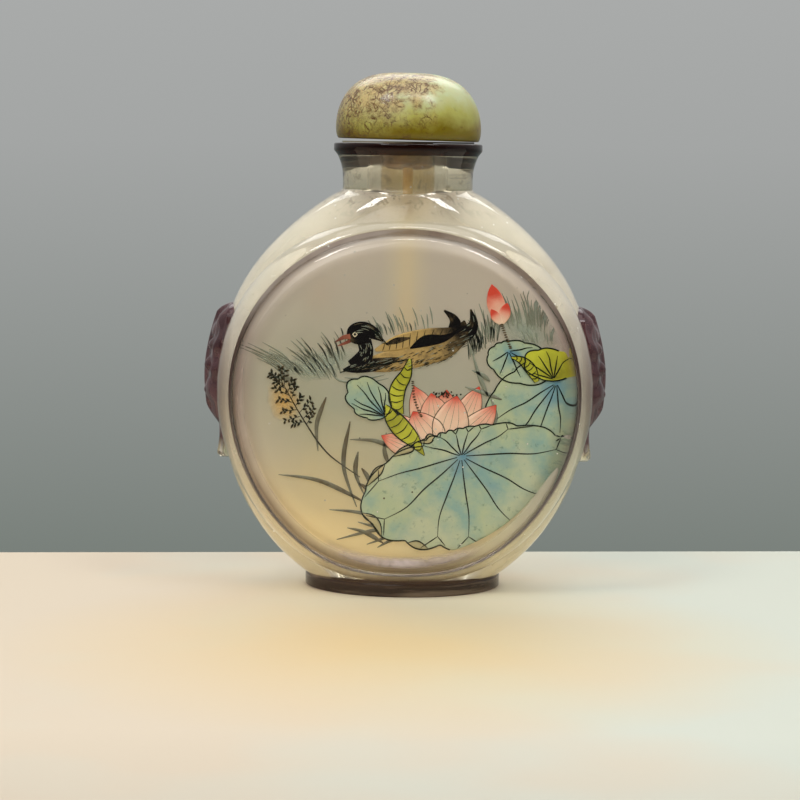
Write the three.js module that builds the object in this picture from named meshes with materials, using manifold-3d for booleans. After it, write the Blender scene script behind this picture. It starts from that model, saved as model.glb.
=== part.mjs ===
// Inside-painted snuff bottle with its stopper and spoon.
// Millimetres, +Z up. The origin is the middle of the foot's underside, the panels face -Y and +Y,
// and the two mask handles are on the narrow sides, at -X and +X.

import * as THREE from 'three';
import { mergeVertices } from 'three/addons/utils/BufferGeometryUtils.js';
import Module from 'manifold-3d';

const wasm = await Module();
wasm.setup();

// ---- driving dimensions ----

const body = {
  middle: 25.6,          // height of the panel centre and of the widest place
  halfWidth: 25.0,
  fuller: 0.75,          // what the upper half has more than the lower half
  fullFrom: 20.0,
  fullTo: 31.0,
  reachDown: 28.0,       // half axis of the outline below the middle
  reachUp: 28.1,         // and above it
  roundDown: 2.0,        // superellipse exponents of the outline
  roundUp: 2.15,
  halfDepth: 10.6,       // of the shoulders and base, behind the panels
  depthRoundDown: 6,
  depthRoundUp: 4,
  base: 1.9,             // height where the body stands on its foot
  lowCurve: 12,          // below this, and between the two heights after it, the levels are close together
  highCurve: 41,
  neckStart: 54.8,
  fullSection: 0.5,      // what a level ring's exponent has above 2 at the middle height
  around: 48,            // sides of a level ring
};

const neck = {
  waist: 8.76,           // narrowest radius
  waistHeight: 55.2,
  flare: 0.073,          // growth of the radius with the square of the height above the waist
  bore: 3.65,
  widthFillet: 10,       // reach of the soft run from the shoulders into the neck
  depthFillet: 6,
};

const lip = { radius: 10.05, start: 58.5, edge: 59.05, top: 60.1, round: 0.2 };

const foot = {
  halfWidth: 13.3,
  halfDepth: 11.5,
  spread: 0.25,          // rounding of its lower edge
  recessHalfWidth: 10.4,
  recessHalfDepth: 8.5,
  recess: 1.2,
  overlap: 0.1,          // with the body above
  around: 40,
};

const panel = {
  radius: 22.85,         // to the bottom of the groove round it
  face: 12.8,            // distance of the flat face from the middle plane
  edge: 1.6,             // width of its rounded edge
  groove: 11.3,          // distance of the groove from the middle plane
  crease: 5.5,           // where the bevel outside the groove meets the side
  creaseRadius: 25.3,
  sideTurn: 2.6,         // where the bevel has turned into the side
  sideInset: 0.03,
  around: 60,
  higher: 0.15,          // how much wider than at the sides the bevel is at the top, and narrower at the foot
  flatter: 0.034,        // share of the radius that is missing above the foot
  flatterRound: 16,      // how narrow that flatter stretch is
};

const cavity = {
  radius: 22.4,
  halfDepth: 9.8,
  roundRadius: 40,       // superellipse exponents of its section
  roundDepth: 4,
  wall: 3.0,             // at the shoulders
  shoulder: 42.0,        // where the shoulder hollow starts
  throat: 53.4,          // where it has narrowed to the bore
  narrowing: 2.4,        // exponent: how late it narrows
  depthInset: 1.4,       // what the shoulder hollow is shallower than the chamber
  boreStart: 0.6,        // above the throat
  past: 1.0,             // how far the cutting shapes reach beyond the glass
  around: 36,
  throatAround: 28,
};

const handle = {
  maskMiddle: 29.5, maskHalfHeight: 8.9, maskHalfWidth: 6.0, maskHeight: 1.45,
  maskRise: 2.2, maskRound: 0.6,       // how fast the mask rises from its rim, and how rounded
  curls: 0.22, curlCount: 11, curlStart: 0.5,
  chinStart: -4.6, chinEnd: -9.2,      // heights, from the mask's middle, between which it dies away
  ridge: 0.32,                         // of the nose and forehead above the rest
  ridgeHalfWidth: 1.6,
  ridgeSoft: 1.2,
  floor: 0.25,                         // depth of the ground between the features
  ringMiddle: 20.9, ringHalfHeight: 3.7, ringHalfWidth: 5.0,
  ringAcross: 3.6, ringDown: 3.0, ringThickness: 1.0, ringHeight: 0.6,
  ground: 0.1,           // height of the flat plate inside the ring
  crown: 0.03,           // how the narrow side falls away from its middle
  heavier: 0.5,          // how much thicker the ring is at its lowest point
  rim: 0.3,              // depth of its edge below the wall
  buried: 1.6,           // depth that its back sinks into the wall
  backShare: 0.9,        // width of its back, as a share of its front
  around: 12,
  rows: 27,
};

// Bosses on each half of the mask: height, place across and up from its middle, radius,
// how much wider than high, and how much each rises towards its outer end.
const features = {
  nostril: [0.6, 1.3, -3.0, 1.0, 1.0, 0],
  eye: [0.65, 2.7, 0.6, 1.15, 1.0, 0],
  brow: [0.5, 2.8, 2.8, 0.9, 2.0, 0.2],
  cheek: [0.5, 3.2, -2.8, 1.8, 1.0, 0],
  forehead: [0.35, 1.6, 5.4, 1.3, 1.0, 0],
  mouth: [-0.4, 1.8, -5.0, 0.7, 1.8, 0],
};

const stopper = {
  seat: 0.05,            // gap between pieces that rest on each other
  collar: 0.2,
  collarRadius: 8.9,
  plugRadius: 3.35,
  plugBottom: 57.6,
  socketRadius: 1.0,
  socketTop: 59.6,
  bevel: 0.4,            // at the plug's lower end
  capRadius: 9.8,
  capBaseRadius: 9.35,
  capBelly: 1.5,         // height of the widest place above the cap's base
  capHeight: 9.0,
  capRound: 3.1,         // superellipse exponent of the dome
  capLean: 0.0175,       // slope of the cap, which sits a little lower on the right
  plugAround: 28,
  capAround: 40,
};

const spoon = {
  radius: 0.68,
  top: 59.3,
  shoulder: 41.5,        // the round stem starts here
  bladeTop: 39.0,
  bottom: 33.0,
  bladeHalfWidth: 1.35,
  bladeHalfDepth: 0.45,
  bladeEnd: 0.35,        // half width of the blade's ends
  bladeOver: 0.4,        // what its outline reaches beyond its ends
  bladeRound: 2.6,
  around: 12,
};

// ---- helpers ----

const { PI, abs, cos, sin, sign, min, max, hypot, atan2 } = Math;
const steps = (from, to, count) => {
  return Array.from({ length: count + 1 }, (_, i) => from + ((to - from) * i) / count);
};
const clamp = (value, low, high) => min(max(value, low), high);
const smoothstep = (share) => clamp(share, 0, 1) ** 2 * (3 - 2 * clamp(share, 0, 1));

// One coordinate of a superellipse, from the other as a share of its half axis.
const superArc = (share, exponent) => (1 - min(abs(share), 1) ** exponent) ** (1 / exponent);

// The larger of two values, eased where they differ by less than the reach.
const blended = (a, b, reach) => max(a, b) + max(reach - abs(a - b), 0) ** 2 / (4 * reach);

// A closed body through rings of equal length. Each is an array of points, anticlockwise seen from above.
function loft(rings) {
  const count = rings[0].length;
  const points = rings.flat();
  const middleOf = (ring) => ring.reduce((sum, p) => sum.add(p), new THREE.Vector3()).divideScalar(count);
  const low = points.push(middleOf(rings[0])) - 1;
  const high = points.push(middleOf(rings.at(-1))) - 1;
  const faces = [];
  const last = (rings.length - 1) * count;
  for (let i = 0; i < count; i++) {
    const next = (i + 1) % count;
    for (let start = 0; start < last; start += count) {
      const [a, b, c, d] = [start + i, start + next, start + count + next, start + count + i];
      faces.push(a, b, c, a, c, d);
    }
    faces.push(low, next, i, high, last + i, last + next);
  }
  const geometry = new THREE.BufferGeometry().setFromPoints(points);
  geometry.setIndex(faces);
  return geometry;
}

// A level ring whose half axes and roundness are given.
function ring(height, halfWidth, halfDepth, exponent, count) {
  return Array.from({ length: count }, (_, i) => {
    const turn = (2 * PI * i) / count;
    const x = halfWidth * sign(cos(turn)) * abs(cos(turn)) ** (2 / exponent);
    const y = halfDepth * sign(sin(turn)) * abs(sin(turn)) ** (2 / exponent);
    return new THREE.Vector3(x, y, height);
  });
}

// A turned body about the Z axis, from [radius, height] points that start and end on the axis.
function turned(profile, segments) {
  const geometry = new THREE.LatheGeometry(profile.map(([r, h]) => new THREE.Vector2(r, h)), segments);
  return geometry.rotateX(PI / 2);
}

function solid(geometry) {
  const plain = geometry.clone();
  plain.deleteAttribute('normal');
  plain.deleteAttribute('uv');
  const merged = mergeVertices(plain, 1e-5);
  const whole = [];
  const index = merged.index.array;
  for (let i = 0; i < index.length; i += 3) {
    const [a, b, c] = [index[i], index[i + 1], index[i + 2]];
    if (a !== b && b !== c && c !== a) whole.push(a, b, c);
  }
  return new wasm.Manifold(new wasm.Mesh({
    numProp: 3,
    vertProperties: new Float32Array(merged.attributes.position.array),
    triVerts: new Uint32Array(whole),
  }));
}

function geometryOf(manifold) {
  const mesh = manifold.getMesh();
  const geometry = new THREE.BufferGeometry();
  geometry.setAttribute('position', new THREE.BufferAttribute(mesh.vertProperties, 3));
  geometry.setIndex(new THREE.BufferAttribute(mesh.triVerts, 1));
  geometry.computeVertexNormals();
  return geometry;
}

// ---- outer form ----

// Position between the middle and the end of the outline, -1 to 1.
const along = (z) => (z - body.middle) / (z < body.middle ? body.reachDown : body.reachUp);

function neckRadius(z) {
  const above = max(z - neck.waistHeight, 0);
  return neck.waist + neck.flare * above * above;
}

function outlineWidth(z) {
  const share = along(z);
  const full = smoothstep((z - body.fullFrom) / (body.fullTo - body.fullFrom));
  const roundness = share < 0 ? body.roundDown : body.roundUp;
  const wide = (body.halfWidth + body.fuller * full) * superArc(share, roundness);
  return share < 0 ? wide : blended(wide, neckRadius(z), neck.widthFillet);
}

function outlineDepth(z) {
  const share = along(z);
  const deep = body.halfDepth * superArc(share, share < 0 ? body.depthRoundDown : body.depthRoundUp);
  return share < 0 ? deep : blended(deep, neckRadius(z), neck.depthFillet);
}

const sectionRound = (z) => 2 + body.fullSection * (1 - min(abs(along(z)), 1) ** 4);

// Shoulders, base and neck in one loft, from the foot's top to the lip's top.
function shoulders() {
  const flat = (z) => ring(z, neckRadius(z), neckRadius(z), 2, body.around);
  const shaped = (z) => ring(z, outlineWidth(z), outlineDepth(z), sectionRound(z), body.around);
  const base = steps(body.base, body.lowCurve, 6).map(shaped);
  const belly = steps(body.lowCurve, body.highCurve, 7).slice(1, -1).map(shaped);
  const slope = steps(body.highCurve, body.neckStart, 11).map(shaped);
  const throat = steps(body.neckStart, lip.start, 4).slice(1).map(flat);
  const band = [
    [lip.edge, lip.radius],
    [lip.top - lip.round, lip.radius],
    [lip.top, lip.radius - lip.round],
  ].map(([z, r]) => ring(z, r, r, 2, body.around));
  return loft([...base, ...belly, ...slope, ...throat, ...band]);
}

// The panels are cut a little off round by hand, and flatter above the foot: a share of the radius
// for an angle from the top.
function lobe(turn) {
  const flat = panel.flatter * max(-cos(turn), 0) ** panel.flatterRound;
  return 1 + 0.0044 * cos(turn) + 0.0044 * cos(2 * turn) - 0.0153 * cos(3 * turn) - flat;
}

// A body turned about the Y axis through the panel centre, from [radius, distance] points of its front half.
function disc(halfProfile, segments) {
  const mirrored = halfProfile.slice(0, -1).reverse().map(([r, t]) => [r, -t]);
  const points = [...halfProfile, ...mirrored].map(([r, t]) => new THREE.Vector2(r, -t));
  const geometry = new THREE.LatheGeometry(points, segments);
  const place = geometry.attributes.position;
  for (let i = 0; i < place.count; i++) {
    const reach = hypot(place.getX(i), place.getZ(i));
    if (reach === 0) continue;
    const turn = atan2(place.getX(i), place.getZ(i));
    const share = lobe(turn) + (max(reach - panel.radius, 0) * panel.higher * cos(turn)) / reach;
    place.setX(i, place.getX(i) * share);
    place.setZ(i, place.getZ(i) * share);
  }
  return geometry.translate(0, 0, body.middle);
}

// Both raised panels, their rounded edges, the grooves and the bevels outside them.
function panels() {
  const flatEdge = panel.radius - panel.edge;
  const drop = panel.face - panel.groove;
  const edge = steps(0, PI / 2, 3).map((a) => [flatEdge + panel.edge * sin(a), panel.groove + drop * cos(a)]);
  const bevel = steps(0, PI / 2, 3).slice(1).map((a) => [
    panel.radius + (panel.creaseRadius - panel.radius) * sin(a),
    panel.crease + (panel.groove - panel.crease) * cos(a),
  ]);
  const side = [[panel.creaseRadius - panel.sideInset, panel.sideTurn], [panel.creaseRadius, 0]];
  return disc([[0, panel.face], ...edge, ...bevel, ...side], panel.around);
}

function footRing() {
  const level = (z, inset) => ring(z, foot.halfWidth - inset, foot.halfDepth - inset, 2, foot.around);
  return loft([level(0, foot.spread), level(foot.spread, 0), level(body.base + foot.overlap, foot.overlap)]);
}

function footRecess() {
  const level = (z) => ring(z, foot.recessHalfWidth, foot.recessHalfDepth, 2, foot.around);
  return loft([level(-cavity.past), level(foot.recess)]);
}

// ---- mask and ring handles ----

// A round boss: full height at its centre, none beyond its radius.
const boss = (u, v, radius) => max(1 - (u * u + v * v) / (radius * radius), 0);

// The mask's relief at a distance across and up from its middle.
function maskRelief(u, v) {
  const across = u / handle.maskHalfWidth;
  const upDown = abs(v) / handle.maskHalfHeight;
  const inside = 1 - across ** 3 - upDown ** 4;
  if (inside <= 0) return 0;
  const outer = clamp((across ** 2 + upDown ** 2 - handle.curlStart) * 4, 0, 1);
  let carved = handle.curls * cos(handle.curlCount * atan2(v, u)) * outer - handle.floor;
  for (const [height, right, up, radius, wide, rise] of Object.values(features)) {
    carved += height * boss((u - right) / wide, v - up - rise * u, radius);
  }
  const ridge = smoothstep((handle.ridgeHalfWidth - u) / handle.ridgeSoft);
  const relief = min(inside * 4, 1) * (handle.ridge * ridge + carved * (1 - ridge));
  const chin = smoothstep((v - handle.chinEnd) / (handle.chinStart - handle.chinEnd));
  return (handle.maskHeight * clamp(inside * handle.maskRise, 0, 1) ** handle.maskRound + relief) * chin;
}

// The flat plate below the mask, and the ring that lies on it.
function ringRelief(u, w) {
  const round = (hypot(u / handle.ringAcross, w / handle.ringDown) - 1) * handle.ringDown;
  const thicker = (1 - (handle.heavier * w) / handle.ringDown) ** 2;
  const bead = boss(round, 0, handle.ringThickness) ** 0.5 * handle.ringHeight * thicker;
  const inside = 1 - (u / handle.ringHalfWidth) ** 2 - (w / handle.ringHalfHeight) ** 2;
  return handle.ground * clamp(inside * 5, 0, 1) + bead;
}

// Height of the carving above the narrow side, at a depth and height on it.
function carving(depth, z) {
  return max(maskRelief(abs(depth), z - handle.maskMiddle), ringRelief(abs(depth), z - handle.ringMiddle), 0);
}

function handleHalfWidth(z) {
  const mask = handle.maskHalfWidth * superArc((z - handle.maskMiddle) / handle.maskHalfHeight, 3);
  const ringPart = handle.ringHalfWidth * superArc((z - handle.ringMiddle) / handle.ringHalfHeight, 2);
  return max(mask, ringPart, 0.5);
}

function sideHandle() {
  const bottom = handle.ringMiddle - handle.ringHalfHeight;
  const top = handle.maskMiddle + handle.maskHalfHeight;
  const rings = steps(bottom, top, handle.rows).map((z) => {
    const half = handleHalfWidth(z);
    const front = steps(-1, 1, handle.around).map((share) => {
      const depth = share * half;
      const falls = handle.crown * depth * depth;
      const height = abs(share) === 1 ? -handle.rim : carving(depth, z);
      return new THREE.Vector3(outlineWidth(z) - falls + height, depth, z);
    });
    const back = [half, -half].map((depth) => depth * handle.backShare)
      .map((depth) => new THREE.Vector3(outlineWidth(z) - handle.buried, depth, z));
    return [...front, ...back];
  });
  return loft(rings);
}

// ---- hollow ----

function hollow() {
  const section = steps(0, PI / 2, 6).map((a) => [
    cavity.radius * sin(a) ** (2 / cavity.roundRadius),
    cavity.halfDepth * cos(a) ** (2 / cavity.roundDepth),
  ]);
  const chamber = solid(disc([[0, cavity.halfDepth], ...section.slice(1)], cavity.around));
  const narrowing = steps(cavity.shoulder, cavity.throat, 7).map((z) => {
    const share = ((z - cavity.shoulder) / (cavity.throat - cavity.shoulder)) ** cavity.narrowing;
    const wide = (outlineWidth(z) - cavity.wall) * (1 - share) + neck.bore * share;
    const deepest = min(outlineDepth(z) - cavity.wall, cavity.halfDepth - cavity.depthInset);
    const deep = deepest * (1 - share) + neck.bore * share;
    return ring(z, wide, deep, 2, cavity.throatAround);
  });
  const bore = [cavity.throat + cavity.boreStart, lip.top + cavity.past]
    .map((z) => ring(z, neck.bore, neck.bore, 2, cavity.throatAround));
  return chamber.add(solid(loft([...narrowing, ...bore])));
}

function bottle() {
  const carved = solid(sideHandle());
  const outside = solid(shoulders())
    .add(solid(panels()))
    .add(solid(footRing()))
    .add(carved)
    .add(carved.mirror([1, 0, 0]));
  return geometryOf(outside.subtract(hollow()).subtract(solid(footRecess())));
}

// ---- stopper ----

const collarBase = lip.top + stopper.seat;
const capBase = collarBase + stopper.collar + stopper.seat + stopper.collarRadius * stopper.capLean;

function plug() {
  const collarTop = collarBase + stopper.collar;
  return turned([
    [0, stopper.socketTop],
    [stopper.socketRadius, stopper.socketTop],
    [stopper.socketRadius, stopper.plugBottom],
    [stopper.plugRadius - stopper.bevel, stopper.plugBottom],
    [stopper.plugRadius, stopper.plugBottom + stopper.bevel],
    [stopper.plugRadius, collarBase],
    [stopper.collarRadius, collarBase],
    [stopper.collarRadius, collarTop],
    [0, collarTop],
  ], stopper.plugAround);
}

function cap() {
  const belly = capBase + stopper.capBelly;
  const rise = stopper.capHeight - stopper.capBelly;
  const under = steps(0, PI / 2, 3).map((a) => [
    stopper.capBaseRadius + (stopper.capRadius - stopper.capBaseRadius) * sin(a),
    belly - stopper.capBelly * cos(a),
  ]);
  const dome = steps(0, PI / 2, 8).slice(1, -1).map((a) => [
    stopper.capRadius * cos(a) ** (2 / stopper.capRound),
    belly + rise * sin(a),
  ]);
  const geometry = turned([[0, capBase], ...under, ...dome, [0, belly + rise]], stopper.capAround);
  const place = geometry.attributes.position;
  for (let i = 0; i < place.count; i++) place.setZ(i, place.getZ(i) - place.getX(i) * stopper.capLean);
  return geometry;
}

function spoonShape() {
  const middle = (spoon.bottom + spoon.bladeTop) / 2;
  const reach = (spoon.bladeTop - spoon.bottom) / 2 + spoon.bladeOver;
  const blade = steps(spoon.bottom, spoon.bladeTop, 6).map((z) => {
    const share = superArc((z - middle) / reach, spoon.bladeRound);
    const half = spoon.bladeEnd + (spoon.bladeHalfWidth - spoon.bladeEnd) * share;
    return ring(z, half, spoon.bladeHalfDepth, 2, spoon.around);
  });
  const shaft = [spoon.shoulder, spoon.top].map((z) => ring(z, spoon.radius, spoon.radius, 2, spoon.around));
  return loft([...blade, ...shaft]);
}

// ---- the part ----

const glass = new THREE.MeshStandardMaterial({ color: 0xbdb9a4, roughness: 0.08, metalness: 0 });
glass.transparent = true;
glass.opacity = 0.75;
const stone = new THREE.MeshStandardMaterial({ color: 0x8f9645, roughness: 0.25, metalness: 0 });
const cork = new THREE.MeshStandardMaterial({ color: 0xa5835a, roughness: 0.8, metalness: 0 });
const bone = new THREE.MeshStandardMaterial({ color: 0xb58a4c, roughness: 0.45, metalness: 0 });

function piece(name, geometry, material) {
  const mesh = new THREE.Mesh(geometry, material);
  mesh.name = name;
  return mesh;
}

const part = new THREE.Group();
part.add(
  piece('bottle', bottle(), glass),
  piece('stopper_cap', cap(), stone),
  piece('stopper_plug', plug(), cork),
  piece('spoon', spoonShape(), bone),
);

export default part;
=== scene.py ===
import math
import random

import bmesh
import bpy
from mathutils import Matrix, Vector


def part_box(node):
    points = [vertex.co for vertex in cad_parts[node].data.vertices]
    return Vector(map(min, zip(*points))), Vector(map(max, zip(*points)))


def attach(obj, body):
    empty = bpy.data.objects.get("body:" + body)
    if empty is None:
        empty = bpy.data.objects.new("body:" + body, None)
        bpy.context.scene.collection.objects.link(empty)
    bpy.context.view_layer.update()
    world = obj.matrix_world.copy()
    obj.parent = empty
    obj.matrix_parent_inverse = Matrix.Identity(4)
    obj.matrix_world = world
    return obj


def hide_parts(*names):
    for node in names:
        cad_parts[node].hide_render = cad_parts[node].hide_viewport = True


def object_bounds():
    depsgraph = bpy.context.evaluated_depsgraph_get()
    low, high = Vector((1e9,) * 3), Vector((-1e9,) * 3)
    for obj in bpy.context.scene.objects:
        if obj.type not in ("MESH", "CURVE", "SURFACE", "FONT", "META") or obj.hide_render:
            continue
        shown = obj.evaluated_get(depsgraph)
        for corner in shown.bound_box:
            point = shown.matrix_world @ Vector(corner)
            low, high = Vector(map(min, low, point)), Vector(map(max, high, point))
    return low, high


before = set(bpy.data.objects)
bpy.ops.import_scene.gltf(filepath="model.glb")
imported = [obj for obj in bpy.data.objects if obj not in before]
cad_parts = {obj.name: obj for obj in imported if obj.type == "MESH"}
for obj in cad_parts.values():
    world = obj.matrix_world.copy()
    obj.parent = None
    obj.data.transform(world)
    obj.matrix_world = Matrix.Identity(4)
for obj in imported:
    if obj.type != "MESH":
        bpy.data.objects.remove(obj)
cadLow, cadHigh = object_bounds()
mm = 0.001
pi = math.pi

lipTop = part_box("bottle")[1].z / mm
capLow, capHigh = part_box("stopper_cap")
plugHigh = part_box("stopper_plug")[1]


def between(low, high, share):
    return low + (high - low) * share


def stations(low, high, count):
    return [between(low, high, i / count) for i in range(count + 1)]


def clamp(value, low=0.0, high=1.0):
    return min(max(value, low), high)


def eased(low, high, value):
    share = clamp((value - low) / (high - low))
    return share * share * (3 - 2 * share)


def signedPower(value, power):
    return math.copysign(abs(value) ** power, value)


def superArc(share, exponent):
    return (1 - min(abs(share), 1) ** exponent) ** (1 / exponent)


# The larger of two values, eased where they differ by less than the reach.
def blended(a, b, reach):
    return max(a, b) + max(reach - abs(a - b), 0) ** 2 / (4 * reach)


def placed(name, data):
    piece = bpy.data.objects.new(name, data)
    bpy.context.scene.collection.objects.link(piece)
    return piece


def meshObject(name, bm, materials=(), flat=False):
    mesh = bpy.data.meshes.new(name)
    bm.to_mesh(mesh)
    bm.free()
    for material in materials:
        mesh.materials.append(material)
    for face in mesh.polygons:
        face.use_smooth = not flat
    return placed(name, mesh)


# A grid, each corner put at place(turn, row) in millimetres, and closed where it meets itself.
def wrapped(around, rows, place):
    bm = bmesh.new()
    bmesh.ops.create_grid(bm, x_segments=around, y_segments=len(rows) - 1, size=0.5)
    for corner in bm.verts:
        turn = (corner.co.x + 0.5) * 2 * pi
        row = rows[round((corner.co.y + 0.5) * (len(rows) - 1))]
        corner.co = Vector(place(turn, row)) * mm
    bmesh.ops.remove_doubles(bm, verts=bm.verts, dist=1e-7)
    return bm


def closed(bm):
    edges = [edge for edge in bm.edges if edge.is_boundary]
    if edges:
        bmesh.ops.holes_fill(bm, edges=edges, sides=0)
    bmesh.ops.recalc_face_normals(bm, faces=bm.faces)
    return bm


def combined(name, first, operations):
    for kind, other in operations:
        change = first.modifiers.new(kind, "BOOLEAN")
        change.operation, change.solver, change.object = kind, "MANIFOLD", other
    shape = bpy.data.meshes.new_from_object(first.evaluated_get(bpy.context.evaluated_depsgraph_get()))
    result = placed(name, shape)
    for spent in [first] + [other for _, other in operations]:
        bpy.data.objects.remove(spent)
    return result


class Wire:
    def __init__(self, finish, socket):
        self.finish, self.socket = finish, socket

    def maths(self, operation, other=None, turned=False):
        values = [self] if other is None else [other, self] if turned else [self, other]
        return self.finish.node("Math", {"operation": operation}, dict(enumerate(values)))

    def __add__(self, other):
        return self.maths("ADD", other)

    def __sub__(self, other):
        return self.maths("SUBTRACT", other)

    def __rsub__(self, other):
        return self.maths("SUBTRACT", other, True)

    def __mul__(self, other):
        return self.maths("MULTIPLY", other)

    def __truediv__(self, other):
        return self.maths("DIVIDE", other)

    def __pow__(self, other):
        return self.maths("POWER", other)

    __radd__, __rmul__ = __add__, __mul__


class Finish:
    def __init__(self, name, owners="materials"):
        self.owner = getattr(bpy.data, owners).new(name)
        self.owner.use_nodes = True
        self.tree = self.owner.node_tree
        self.tree.nodes.clear()

    # One output of a new node, after its settings are made and its sockets are fed.
    def node(self, kind, settings=None, sockets=None, output=0):
        made = self.tree.nodes.new("ShaderNode" + kind)
        for key, value in (settings or {}).items():
            if key == "stops":
                steps = made.color_ramp.elements
                for step, (place, colour) in enumerate(value):
                    stop = steps[step] if step < 2 else steps.new(place)
                    stop.position, stop.color = place, (*colour, 1)
            else:
                setattr(made, key, value)
        for key, value in (sockets or {}).items():
            socket = made.inputs[key]
            if isinstance(value, Wire):
                self.tree.links.new(value.socket, socket)
            elif socket.type == "RGBA" and len(value) == 3:
                socket.default_value = (*value, 1)
            else:
                socket.default_value = value
        return Wire(self, made.outputs[output])

    def done(self, shader, end="OutputMaterial"):
        out = self.tree.nodes.new("ShaderNode" + end)
        self.tree.links.new(shader.socket, out.inputs["Surface"])
        return self.owner

    def place(self):
        return self.node("TexCoord", output="Object")

    # Millimetres across, away from the viewer or upward, which are axes 0, 1 and 2.
    def along(self, axis):
        return self.node("SeparateXYZ", {}, {"Vector": self.place()}, axis) / mm

    # The shade that each corner of a film of paint was given.
    def shade(self):
        return self.node("Attribute", {"attribute_name": "shade"}, output="Fac")

    def noise(self, scale, detail=3, roughness=0.5, distortion=0.0, where=None, output=0):
        return self.node("TexNoise", {}, {"Vector": where or self.place(), "Scale": scale, "Detail": detail,
                                          "Roughness": roughness, "Distortion": distortion}, output)

    def ramp(self, factor, stops):
        return self.node("ValToRGB", {"stops": stops}, {"Fac": factor})

    # A ramp of greys.
    def levels(self, factor, stops):
        return self.ramp(factor, [(place, (level,) * 3) for place, level in stops])

    # From nothing at one value to all at another.
    def fade(self, value, low, high):
        return self.levels((value - low) / (high - low), [(0, 0), (1, 1)])

    def blend(self, factor, first, second, kind="MIX"):
        settings = {"data_type": "RGBA", "blend_type": kind}
        return self.node("Mix", settings, {0: factor, 6: first, 7: second}, 2)

    def bump(self, height, strength, distance):
        return self.node("Bump", {}, {"Height": height, "Strength": strength, "Distance": distance})

    # The slight waves of glass polished by hand, and any pits in it.
    def waves(self, pits=0):
        height = self.noise(*glassLook["wave"]) + pits
        return self.bump(height, glassLook["waveStrength"], glassLook["waveDepth"])

    def principled(self, sockets):
        return self.node("BsdfPrincipled", {}, sockets)

    # Dry watercolour, which has no gloss of its own.
    def paint(self, colour, others=None):
        return self.principled({"Base Color": colour, "Roughness": painting["roughness"],
                                "Specular IOR Level": 0.0, **(others or {})})

    # Clear glass of a tint.
    def clear(self, tint, roughness, bump):
        return self.principled({"Base Color": tint, "Roughness": roughness, "IOR": glassLook["ior"],
                                "Transmission Weight": 1.0, "Normal": bump})

    def mixed(self, factor, first, second):
        return self.node("MixShader", {}, {0: factor, 1: first, 2: second})

    # Light from lamps goes straight on through the glass, so that it reaches what is behind.
    def litThrough(self, shader, tint):
        shadow = self.node("LightPath", output="Is Shadow Ray")
        straight = shadow.maths("MAXIMUM", self.node("LightPath", output="Is Diffuse Ray"))
        return self.mixed(straight, shader, self.node("BsdfTransparent", {}, {"Color": tint}))

    # Small round specks: cells to a metre, radius within a cell, and the share of the cells that have one.
    def specks(self, cells, radius, share):
        where = {"Vector": self.place(), "Scale": cells}
        near = self.fade(self.node("TexVoronoi", {}, where), radius * 1.6, radius)
        chosen = self.node("SeparateColor", {}, {"Color": self.node("TexVoronoi", {}, where, "Color")})
        return near * chosen.maths("LESS_THAN", share)

    def speckled(self, shader, specks, tint, roughness):
        speck = self.principled({"Base Color": tint, "Roughness": roughness})
        return self.mixed(self.specks(*specks), shader, speck)


# In the looks, distances and heights are in millimetres, and a pair of them is where something starts and
# where it is all there. A pattern is its scale, detail, roughness and distortion.
glassLook = {
    "tint": (0.97, 0.96, 0.92), "shadowTint": (0.96, 0.95, 0.90), "roughness": 0.02, "ior": 1.5,
    "wave": (140, 2), "waveStrength": 0.15, "waveDepth": 0.00004,
    "rim": (19.2, 22.2), "rimTint": (0.33, 0.21, 0.21), "rimPatches": (90, 3),    # thin overlay on the edge
    "rimShares": [(0.1, 0.3), (0.4, 1.0), (0.7, 1.0), (0.86, 0.6), (0.99, 0.3)],  # from lowest to highest
    # Painted shade darkens the groove, and more of the rounded edge low on the left.
    "groove": (22.1, 22.65), "grooveShade": (0.07, 0.035, 0.025), "groovePatches": (160, 3),
    "shadeLowLeft": (-24, -30), "shadeLowLeftReach": (21.0, 22.2), "lowLeftShade": 0.85,            # painted shade low on the left edge
    # A pale painted glint low on the rounded edge of the panels.
    "haze": (0.62, 0.54, 0.55), "glintRoughness": 0.3, "glintPatches": (220, 3, 0.6, 1.2),
    "glintLow": (-0.86, -0.98), "glintInner": (20.2, 20.9), "glintOuter": (22.1, 21.4),
    "dust": (560, 0.045, 0.5), "dustTint": (0.75, 0.72, 0.64),
    "dirt": (310, 0.03, 0.6), "dirtTint": (0.10, 0.07, 0.04), "speckRoughness": 0.6,
}


# Distance from a panel's middle, with the panel's lobes taken out, and the cosine of the turn from upright.
def panelReach(finish):
    across, up = finish.along(0), finish.along(2) - body["middle"]
    reach = (across * across + up * up) ** 0.5
    cosine = up / reach
    first, second, third = panel["lobes"]
    lobes = cosine * first + (cosine * cosine * 2 - 1) * second
    lobes += (cosine * cosine * cosine * 4 - cosine * 3) * third
    lobes -= (cosine * -1).maths("MAXIMUM", 0) ** panel["flatterRound"] * panel["flatter"]
    return reach / (lobes + 1), cosine


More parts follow.
